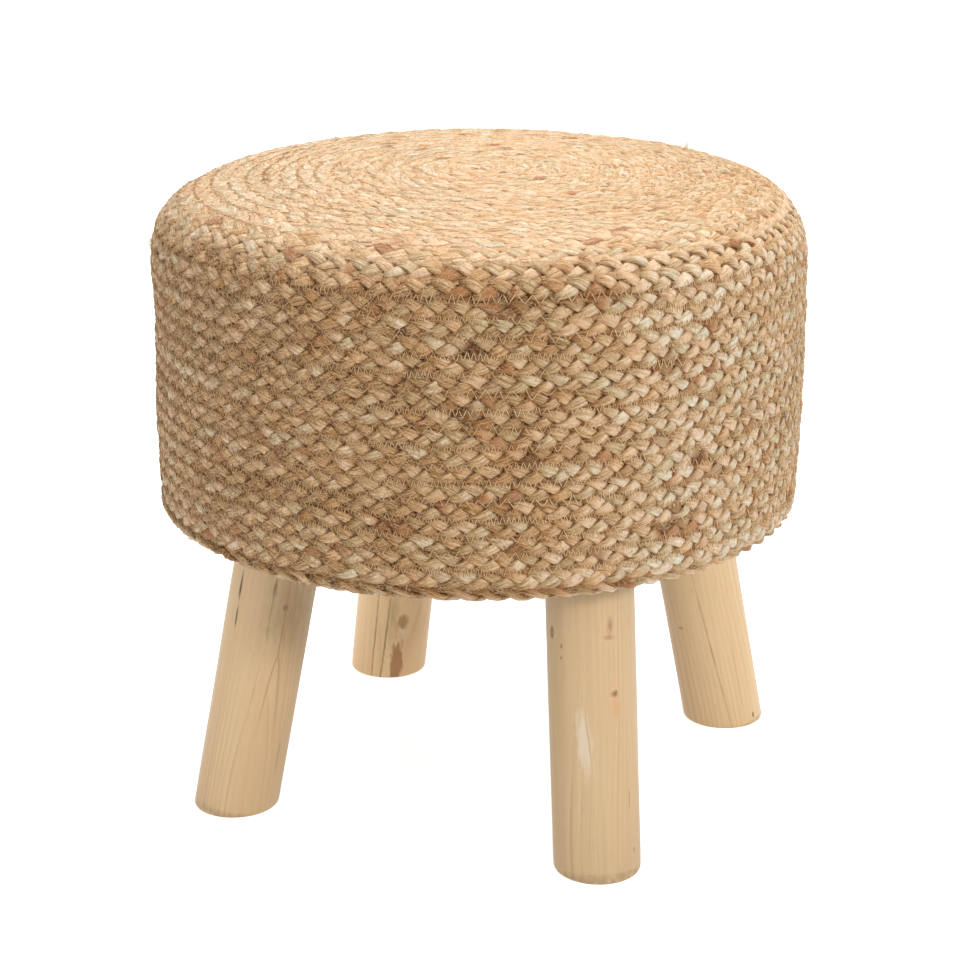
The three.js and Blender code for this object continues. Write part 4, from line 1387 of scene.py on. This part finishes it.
def mark(bearing, height, width, length, colour, share, soft=0.5, lean=0.0):
    """A spot on a pole, in degrees round it and millimetres up and across it."""
    place = {"bearing": math.radians(bearing), "height": height * MM, "lean": lean}
    sizes = {"width": width * MM, "length": length * MM}
    return {"colour": colour, "share": share, "soft": soft, **place, **sizes}


PINE_MARKS = {
    "front_right": [
        mark(-39, 142, 5, 8, KNOT, 0.9, 0.4),
        mark(-39, 142, 2, 4, KNOT_HEART, 0.9),
        mark(46, 144, 12, 26, FAINT_BLUSH, 0.8, 1.0),
        mark(46, 147, 5, 13, KNOT, 0.6, 1.0, 0.1),
        mark(44, 140, 9, 4, KNOT, 0.5, 1.0),
        mark(50, 106, 10, 40, FAINT_BLUSH, 0.8, 1.0),
        mark(51, 98, 7, 15, BLUSH, 0.55, 0.7),
        mark(50, 107, 5.4, 5.4, KNOT, 0.9, 0.7),
        mark(8, 78, 11, 46, CHALK, 0.6, 0.6, -0.08),
        mark(14, 79, 1.4, 46, RED_LINE, 0.7, 0.8, -0.1),
        mark(-21, 135, 1.6, 3, KNOT, 0.8),
        mark(-22, 128, 2, 2.4, KNOT, 0.7),
        mark(76, 147, 10, 9, BLUSH, 0.45, 0.9),
        mark(70, 44, 1.4, 12, GREY_LINE, 0.8),
        mark(78, 13, 2, 5, KNOT, 0.7),
    ],
    "front_left": [
        mark(47, 134, 34, 56, SHADE, 0.8, 1.0),
        mark(35, 48, 30, 130, FAINT_BLUSH, 0.45, 1.0),
        mark(-25, 141, 2.2, 24, CRACK, 0.95, 0.5),
        mark(-24, 124, 1.9, 22, CRACK, 0.9, 0.6),
        mark(26, 148, 3, 18, CRACK, 0.7, 0.9),
        mark(25, 130, 1.5, 60, GREY_LINE, 0.8, 0.9),
        mark(44, 135, 3.6, 5.5, KNOT, 0.9, 0.7),
        mark(20, 80, 1.6, 60, RED_LINE, 0.4, 0.9, 0.08),
        mark(74, 40, 1.6, 30, GREY_LINE, 0.6),
    ],
    "back_left": [
        mark(-4, 35, 1.8, 140, GREY_LINE, 0.8, 0.8),
        mark(13, 35, 2, 140, GREY_LINE, 0.9, 0.8, 0.03),
        mark(22, 60, 10, 70, SHADE, 0.5, 1.0),
        mark(38, 51, 9, 16, RESIN, 0.85, 0.4),
        mark(34, 16, 10, 44, RESIN, 0.95, 0.35),
        mark(38, 40, 9, 8, CHALK, 0.4, 0.6),
    ],
    "back_right": [
        mark(20, 60, 1.7, 150, RED_LINE, 0.75, 0.9, -0.08),
        mark(52, 40, 1.6, 70, FAINT_BLUSH, 0.7),
        mark(70, 5, 2.2, 5, KNOT, 0.9),
        mark(-22, 78, 5, 2.2, GREY_LINE, 0.8),
    ],
}


# %% Painting the marks
ARCH_LINE = 0.8 * MM
FOOT_RIM_DARK_FULL = 0.5 * MM
FOOT_RIM_DARK_ENDS = 2.5 * MM
ARCH = {"bearing": math.radians(45), "apex": 104 * MM, "half_width": 5.3 * MM, "foot": 58 * MM}


def across_pole(recipe, own, bearing):
    """Distance round the pole from a bearing, and height up the pole."""
    x, y, z = recipe.node("SeparateXYZ", {0: own}).outputs
    turned = recipe.math("SUBTRACT", recipe.math("ARCTAN2", y, x), bearing)
    return recipe.math("MULTIPLY", turned, LEG_FOOT_RADIUS), z


def paint_mark(recipe, own, colour, spot):
    across, z = across_pole(recipe, own, spot["bearing"])
    rise = recipe.math("SUBTRACT", z, spot["height"])
    leaned = recipe.math("MULTIPLY_ADD", rise, -spot["lean"], across)
    wide = recipe.math("DIVIDE", leaned, spot["width"] / 2)
    long = recipe.math("DIVIDE", rise, spot["length"] / 2)
    reach = recipe.vector("LENGTH", recipe.node("CombineXYZ", {"X": wide, "Y": long}).outputs[0])
    ragged = recipe.noise(recipe.mapped(own, scale=(500, 500, 120)), 1.0, 2.0)
    edge = recipe.math("ADD", reach, recipe.span(ragged, 0.3, 0.7, -0.25, 0.25))
    inside = recipe.span(edge, 1.0, 1.0 - spot["soft"], 0.0, spot["share"])
    return recipe.mix(inside, colour, spot["colour"])


def paint_arch(recipe, own, colour, bearing, apex, half_width, foot):
    """The pointed arch of one ring, which opens from its apex down to its foot."""
    across, z = across_pole(recipe, own, bearing)
    below = recipe.math("DIVIDE", recipe.math("SUBTRACT", apex, z), apex - foot)
    opened = recipe.math("MULTIPLY", recipe.math("POWER", below, 0.6), half_width)
    off_line = recipe.math("ABSOLUTE", recipe.math("SUBTRACT", recipe.math("ABSOLUTE", across), opened))
    line = recipe.span(off_line, 0.0, ARCH_LINE, 0.9, 0.0)
    lower_end = recipe.span(below, 1.3, 0.5)
    return recipe.mix(recipe.math("MULTIPLY", line, lower_end), colour, RED_LINE)


def paint_foot(recipe, own, colour):
    """Darker patches round the rim of the foot."""
    _, z = across_pole(recipe, own, 0.0)
    patchy = recipe.span(recipe.noise(own, 220.0, 3.0), 0.4, 0.65, 0.05, 0.45)
    low = recipe.span(z, FOOT_RIM_DARK_FULL, FOOT_RIM_DARK_ENDS, 1.0, 0.0)
    return recipe.mix(recipe.math("MULTIPLY", patchy, low), colour, FOOT_RIM_DARK)


# %% [markdown]
# ## Legs
#
# A leg starts as an upright cylinder. Seen level, a cut through a leaning pole is an oval, so it is
# widened along its lean; then its top ring is moved by the lean and made as wide as the pole is
# there. The rims are rounded with a bevel, the length is divided so that it can be a little uneven,
# and a hole is drilled for the coach screw. The foot stays flat on the floor.

# %% Leg sizes
FOOT_RIM = 2.5 * MM
TOP_RIM = 0.8 * MM
LEG_SIDES = 64
LEG_DIVISIONS = 23
LEG_UNEVENNESS = 0.5 * MM
LEG_WAVES = 60 * MM
SCREW_HOLE_SIDES = 24
SCREW_HOLE_RADIUS = 4.3 * MM
SCREW_HOLE_DEPTH = 62 * MM
SMOOTH_ANGLE = math.radians(40)
EDGE = 0.1 * MM


def leg_ends(node):
    """Centres of a leg's foot and of its top, measured on its solid."""
    points = np.array([vertex.co for vertex in frame["nodes"][node].data.vertices])
    low, high = points[:, 2].min(), points[:, 2].max()
    foot = points[points[:, 2] < low + EDGE]
    top = points[points[:, 2] > high - EDGE]
    return Vector((foot.min(0) + foot.max(0)) / 2), Vector((top.min(0) + top.max(0)) / 2)


# %% Shaping a pole
def shape_pole(name, height, run):
    """A pole that stands at the middle and leans along x by a run, with its rims rounded."""
    bpy.ops.object.select_all(action="DESELECT")
    middle = (0, 0, height / 2)
    bpy.ops.mesh.primitive_cylinder_add(
        vertices=LEG_SIDES, radius=LEG_FOOT_RADIUS, depth=height, location=middle
    )
    pole = start_piece(name)
    edit(pole, lambda place: True)
    bpy.ops.transform.resize(value=(math.hypot(run, height) / height, 1, 1))
    leave_edit()
    edit(pole, lambda place: place.z > height - EDGE)
    bpy.ops.transform.translate(value=(run, 0, 0))
    widening = LEG_TOP_RADIUS / LEG_FOOT_RADIUS
    bpy.ops.transform.resize(value=(widening, widening, 1))
    leave_edit()
    select_edges(pole, lambda a, b: max(a.z, b.z) < EDGE)
    bpy.ops.mesh.bevel(offset=FOOT_RIM, segments=4, affect="EDGES")
    leave_edit()
    select_edges(pole, lambda a, b: min(a.z, b.z) > height - EDGE)
    bpy.ops.mesh.bevel(offset=TOP_RIM, segments=2, affect="EDGES")
    leave_edit()
    return pole


def make_uneven(pole, height):
    """Divides the pole's length and moves all but its rims a little in and out."""
    select_edges(pole, lambda a, b: abs(a.z - b.z) > height / 2)
    bpy.ops.mesh.subdivide(number_cuts=LEG_DIVISIONS)
    leave_edit()
    sides = pole.vertex_groups.new(name="sides")
    inner = [v.index for v in pole.data.vertices if 2 * FOOT_RIM < v.co.z < height - 2 * TOP_RIM]
    sides.add(inner, 1.0, "REPLACE")
    roughen(pole, LEG_WAVES, LEG_UNEVENNESS, "sides")


def stand_and_drill(pole, foot, top):
    """Turns the pole to its lean, stands it on its foot and drills the hole for its screw."""
    pole.rotation_euler.z = math.atan2(top.y - foot.y, top.x - foot.x)
    pole.location = (foot.x, foot.y, 0)
    bpy.ops.object.transform_apply(location=True, rotation=True, scale=True)
    hole_middle = (top.x, top.y, top.z - SCREW_HOLE_DEPTH / 2 + EDGE)
    bpy.ops.mesh.primitive_cylinder_add(
        vertices=SCREW_HOLE_SIDES, radius=SCREW_HOLE_RADIUS, depth=SCREW_HOLE_DEPTH, location=hole_middle
    )
    hollow_out(pole, [bpy.context.object])
    bpy.context.view_layer.objects.active = pole
    pole.select_set(True)
    bpy.ops.object.shade_smooth_by_angle(angle=SMOOTH_ANGLE)


# %% Finishing a pole
def pole_finish(side, foot, top, pith, slant, tone):
    """A pole's own pine, with the grain along it and bearing 0 towards the stool's front."""
    front = Vector((0, -1, 0))
    axis = (top - foot).normalized()
    towards_front = (front - axis * axis.dot(front)).normalized()
    own_axes = Matrix((towards_front, axis.cross(towards_front), axis)).transposed()
    recipe, own, colour, fibres = pine_recipe(f"pine_{side}", foot, own_axes.to_euler(), pith, slant, tone)
    for spot in PINE_MARKS[side]:
        colour = paint_mark(recipe, own, colour, spot)
    if side == "front_left":
        colour = paint_arch(recipe, own, colour, **ARCH)
    colour = paint_foot(recipe, own, colour)
    return recipe.finish(colour, recipe.bump(fibres, 0.15 * MM, 0.5), Roughness=0.5, IOR=1.5)


def turn_leg(side, pith, slant, tone):
    foot, top = leg_ends(f"leg_{side}")
    leg = shape_pole(f"pine_leg_{side}", top.z, (top - foot).to_2d().length)
    make_uneven(leg, top.z)
    stand_and_drill(leg, foot, top)
    dress(leg, pole_finish(side, foot, top, pith, slant, tone), "pine_legs", f"leg_{side}")


# %% The four legs
# Tone is partly each board's own and partly painted light: the back left leg, in the seat's shadow, is made
# much paler and the front right a little darker.
POLES = {
    "front_right": {"pith": (-60 * MM, 44 * MM), "slant": (0.02, 0.01), "tone": 0.9},
    "back_right": {"pith": (42 * MM, -62 * MM), "slant": (-0.03, 0.02), "tone": 1.1},
    "back_left": {"pith": (-56 * MM, -48 * MM), "slant": (0.03, 0.0), "tone": 1.45},
    "front_left": {"pith": (60 * MM, 40 * MM), "slant": (-0.05, 0.02), "tone": 0.98},
}
for side, pole in POLES.items():
    turn_leg(side, **pole)

# %% [markdown]
# ## Foam and felt under the cover
#
# The seat is soft because a disc of foam lies on the top board, rounded off at its edge, and a band
# of felt is wrapped round the wall. Neither is seen, but the cover takes its shape from them. The
# foam grows ring by ring from a circle: each ring is extruded up and scaled in along the outline,
# as a pad's own crown and shoulder run just inside the braid.


# %% Growing a form ring by ring
def grow(name, sides, ring_sizes, filled):
    """Extrudes a circle up or in through rings given as [radius, height]."""
    bpy.ops.object.select_all(action="DESELECT")
    (radius, height), *others = ring_sizes
    fill = "NGON" if filled else "NOTHING"
    start = (0, 0, height)
    bpy.ops.mesh.primitive_circle_add(vertices=sides, radius=radius, fill_type=fill, location=start)
    piece = start_piece(name)
    bpy.ops.object.mode_set(mode="EDIT")
    bpy.ops.mesh.select_mode(type="VERT")
    bpy.ops.mesh.select_all(action="SELECT")
    for next_radius, next_height in others:
        move = {"value": (0, 0, next_height - height)}
        if filled:
            bpy.ops.mesh.extrude_region_move(TRANSFORM_OT_translate=move)
        else:
            bpy.ops.mesh.extrude_edges_move(TRANSFORM_OT_translate=move)
        scale = next_radius / radius
        bpy.ops.transform.resize(value=(scale, scale, 1))
        radius, height = next_radius, next_height
    leave_edit()
    return piece


def recalculate_normals(piece):
    edit(piece, lambda place: True)
    bpy.ops.mesh.normals_make_consistent(inside=False)
    leave_edit()


# %% Padding finishes
def foam_material():
    recipe = Recipe("cream_foam")
    place = recipe.place()
    cells = recipe.node("TexVoronoi", {"Vector": place, "Scale": 900.0}).outputs["Distance"]
    aged = recipe.noise(place, 14.0, 3.0)
    cream = recipe.ramp(aged, (0.3, display(214, 190, 128)), (0.7, display(236, 220, 172)))
    pitted = recipe.mix(recipe.span(cells, 0.0, 0.6, 0.5, 0.0), cream, display(168, 140, 88))
    return recipe.finish(pitted, recipe.bump(cells, 0.6 * MM, 0.8), Roughness=0.95)


def felt_material():
    recipe = Recipe("grey_felt")
    place = recipe.place()
    wool = recipe.noise(place, 500.0, 4.0, 0.7)
    flecks = recipe.noise(place, 90.0, 2.0)
    grey = recipe.ramp(wool, (0.3, display(118, 114, 108)), (0.7, display(176, 172, 164)))
    flecked = recipe.mix(recipe.span(flecks, 0.55, 0.7, 0.0, 0.5), grey, display(92, 84, 96))
    return recipe.finish(flecked, recipe.bump(wool, 0.8 * MM, 0.7), Roughness=1.0, Sheen_Weight=0.3)


# %% Foam
COVER_SINKS_IN = 3 * MM
PAD_DEPTH = BRAID_THICKNESS + COVER_SINKS_IN
PAD_SMOOTH_ANGLE = math.radians(50)
FOAM_SIDES = 96
FOAM_RINGS = 26
FOAM_MIDDLE = 5 * MM
foam_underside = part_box("seat_foam")[0].z
pad_points = (crest_points - crest_outward * PAD_DEPTH)[: len(crest_points) // 2]
pad_points = pad_points[pad_points[:, 1] > foam_underside]
foam_rings = pad_points[:: len(pad_points) // FOAM_RINGS][::-1]
foam_rings = [ring for ring in foam_rings if ring[0] > FOAM_MIDDLE]
foam_rings.insert(0, (foam_rings[0][0], foam_underside))
foam = grow("seat_foam_pad", FOAM_SIDES, [tuple(map(float, ring)) for ring in foam_rings], True)
recalculate_normals(foam)
bpy.ops.object.shade_smooth_by_angle(angle=PAD_SMOOTH_ANGLE)
dress(foam, foam_material(), "foam", "seat_foam")

# %% Felt
FELT_THICKNESS = 6.3 * MM - COVER_SINKS_IN
FELT_SIDES = 128
FELT_RINGS = 24
felt_low, felt_high = (corner.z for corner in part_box("side_padding"))


def pad_radius(height):
    """Radius just inside the cover at a height on the side."""
    points = crest_points[seam_index:]
    side = points[points[:, 1] > seat_underside + HEM_EDGE_RADIUS / 2][::-1]
    return float(np.interp(height, side[:, 1], side[:, 0])) - PAD_DEPTH


felt_heights = np.linspace(felt_low, felt_high, FELT_RINGS)
felt_rings = [(pad_radius(height), float(height)) for height in felt_heights]
felt = grow("side_felt_band", FELT_SIDES, felt_rings, False)
recalculate_normals(felt)
thickness = felt.modifiers.new("thickness", "SOLIDIFY")
thickness.thickness = FELT_THICKNESS
thickness.offset = -1
thickness.use_even_offset = True
bpy.ops.object.modifier_apply(modifier=thickness.name)
bpy.ops.object.shade_smooth_by_angle(angle=PAD_SMOOTH_ANGLE)
dress(felt, felt_material(), "padding", "side_padding")

# %% [markdown]
# ## Dust cover
#
# Under the seat a thin black non-woven sheet is stapled over the raw edge of the braid and the base
# board, with a hole cut round each leg. It is a disc with four round cuts, given the sheet's own
# thickness.

# %% Holes for the legs
DUST_SIDES = 160
HOLE_GAP = 0.8 * MM
CUTTER_DEPTH = 20 * MM
dust_low, dust_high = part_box("dust_cover")
dust_thickness = dust_high.z - dust_low.z
dust_radius = (dust_high.x - dust_low.x) / 2


def leg_hole(side):
    foot, top = leg_ends(f"leg_{side}")
    middle = foot.lerp(top, dust_low.z / top.z)
    run = (top - foot).to_2d().length
    radius = LEG_TOP_RADIUS + HOLE_GAP
    bpy.ops.mesh.primitive_cylinder_add(vertices=LEG_SIDES, radius=radius, depth=CUTTER_DEPTH)
    cutter = bpy.context.object
    cutter.scale.x = math.hypot(run, top.z) / top.z
    cutter.rotation_euler.z = math.atan2(top.y - foot.y, top.x - foot.x)
    cutter.location = (middle.x, middle.y, dust_low.z)
    bpy.ops.object.transform_apply(location=True, rotation=True, scale=True)
    return cutter


# %% Dust cover finish
def dust_material():
    recipe = Recipe("black_dust_cloth")
    place = recipe.place()
    fibres = recipe.noise(place, 1400.0, 3.0, 0.7)
    pressed = recipe.node("TexVoronoi", {"Vector": place, "Scale": 700.0}).outputs["Distance"]
    lint = recipe.noise(place, 140.0, 4.0)
    black = recipe.ramp(fibres, (0.3, display(24, 24, 26)), (0.7, display(52, 51, 52)))
    dusty = recipe.mix(recipe.span(lint, 0.5, 0.8, 0.0, 0.2), black, display(120, 112, 100))
    return recipe.finish(dusty, recipe.bump(pressed, 0.3 * MM, 0.6), Roughness=0.9)


# %% Dust cover
bpy.ops.object.select_all(action="DESELECT")
dust_middle = (0, 0, (dust_low.z + dust_high.z) / 2)
bpy.ops.mesh.primitive_cylinder_add(
    vertices=DUST_SIDES, radius=dust_radius, depth=dust_thickness, location=dust_middle
)
dust_sheet = start_piece("dust_sheet")
hollow_out(dust_sheet, [leg_hole(side) for side in POLES])
bpy.context.view_layer.objects.active = dust_sheet
dust_sheet.select_set(True)
bpy.ops.object.shade_smooth_by_angle(angle=SMOOTH_ANGLE)
dress(dust_sheet, dust_material(), "dust_cloth", "dust_cover")

# %% [markdown]
# ## Finishes inside the seat
#
# The boards, the wall sheet, the uprights and the fasteners are the frame's own solids, which are
# right as they are and only need their materials. Plywood shows its layers on its edge and one
# veneer on its face; the wall is a pressed fibre sheet; the uprights are sawn pine; the screws and
# washers are bright zinc and the staples plain wire.

# %% Inner finishes
PLY = 1.5 * MM


def plywood_material():
    recipe = Recipe("plywood")
    place = recipe.place()
    z = recipe.node("SeparateXYZ", {0: place}).outputs[2]
    layer = recipe.math("PINGPONG", recipe.math("DIVIDE", z, PLY), 1.0)
    fibres = recipe.noise(recipe.mapped(place, scale=(30, 420, 420)), 1.0, 3.0)
    veneer = recipe.ramp(fibres, (0.3, display(206, 168, 122)), (0.7, display(228, 198, 156)))
    end_grain = recipe.mix(recipe.span(layer, 0.4, 0.6), veneer, display(164, 120, 78))
    normal = recipe.node("NewGeometry").outputs["Normal"]
    edge = recipe.span(recipe.vector("LENGTH", recipe.mapped(normal, scale=(1, 1, 0))), 0.4, 0.6)
    colour = recipe.mix(edge, veneer, end_grain)
    return recipe.finish(colour, recipe.bump(fibres, 0.3 * MM, 0.5), Roughness=0.75)


def fibre_sheet_material():
    recipe = Recipe("pressed_fibre")
    place = recipe.place()
    fibres = recipe.noise(place, 420.0, 5.0, 0.7)
    blotches = recipe.noise(place, 24.0, 2.0)
    brown = recipe.ramp(fibres, (0.3, display(120, 88, 58)), (0.7, display(168, 132, 94)))
    colour = recipe.mix(recipe.span(blotches, 0.4, 0.7, 0.0, 0.4), brown, display(140, 104, 72))
    return recipe.finish(colour, recipe.bump(fibres, 0.2 * MM, 0.6), Roughness=0.8)


# %% Sawn pine and metal
def sawn_pine_material():
    recipe = Recipe("sawn_pine")
    place = recipe.place()
    grain = recipe.noise(recipe.mapped(place, scale=(260, 260, 10)), 1.0, 3.0)
    saw_marks = recipe.node("TexWave", {"Vector": place, "Scale": 120.0, "Distortion": 2.0}).outputs[1]
    pale = recipe.ramp(grain, (0.3, display(196, 154, 106)), (0.7, display(230, 198, 150)))
    relief = recipe.math("MULTIPLY_ADD", saw_marks, 0.4, grain)
    return recipe.finish(pale, recipe.bump(relief, 0.4 * MM, 0.6), Roughness=0.8)


def metal_material(name, dark, light, roughness):
    recipe = Recipe(name)
    place = recipe.place()
    spangle = recipe.node("TexVoronoi", {"Vector": place, "Scale": 600.0}).outputs["Color"]
    smear = recipe.noise(place, 300.0, 3.0)
    plating = recipe.mix(recipe.span(smear, 0.35, 0.65), dark, light)
    colour = recipe.mix(0.08, plating, spangle)
    worn = recipe.span(smear, 0.3, 0.7, roughness, roughness + 0.15)
    return recipe.finish(colour, recipe.bump(smear, 0.05 * MM, 0.5), Metallic=1.0, Roughness=worn)


# %% Dressing the inner pieces
inner_finishes = {
    "top_board": plywood_material(),
    "base_board": plywood_material(),
    "wall_sheet": fibre_sheet_material(),
    "upright_screw": metal_material("bright_zinc", display(176, 178, 176), display(214, 214, 206), 0.3),
    "leg_screw": metal_material("coach_screw_zinc", display(168, 172, 172), display(208, 206, 196), 0.35),
    "leg_washer": metal_material("washer_zinc", display(184, 186, 184), display(222, 220, 212), 0.28),
    "upright": sawn_pine_material(),
    "staple": metal_material("staple_wire", display(150, 150, 152), display(196, 196, 198), 0.4),
}
for name, node in frame["nodes"].items():
    finishes = [finish for start, finish in inner_finishes.items() if name.startswith(start)]
    if finishes:
        node.material_slots[0].material = finishes[0]
print("inner finishes:", len(inner_finishes))
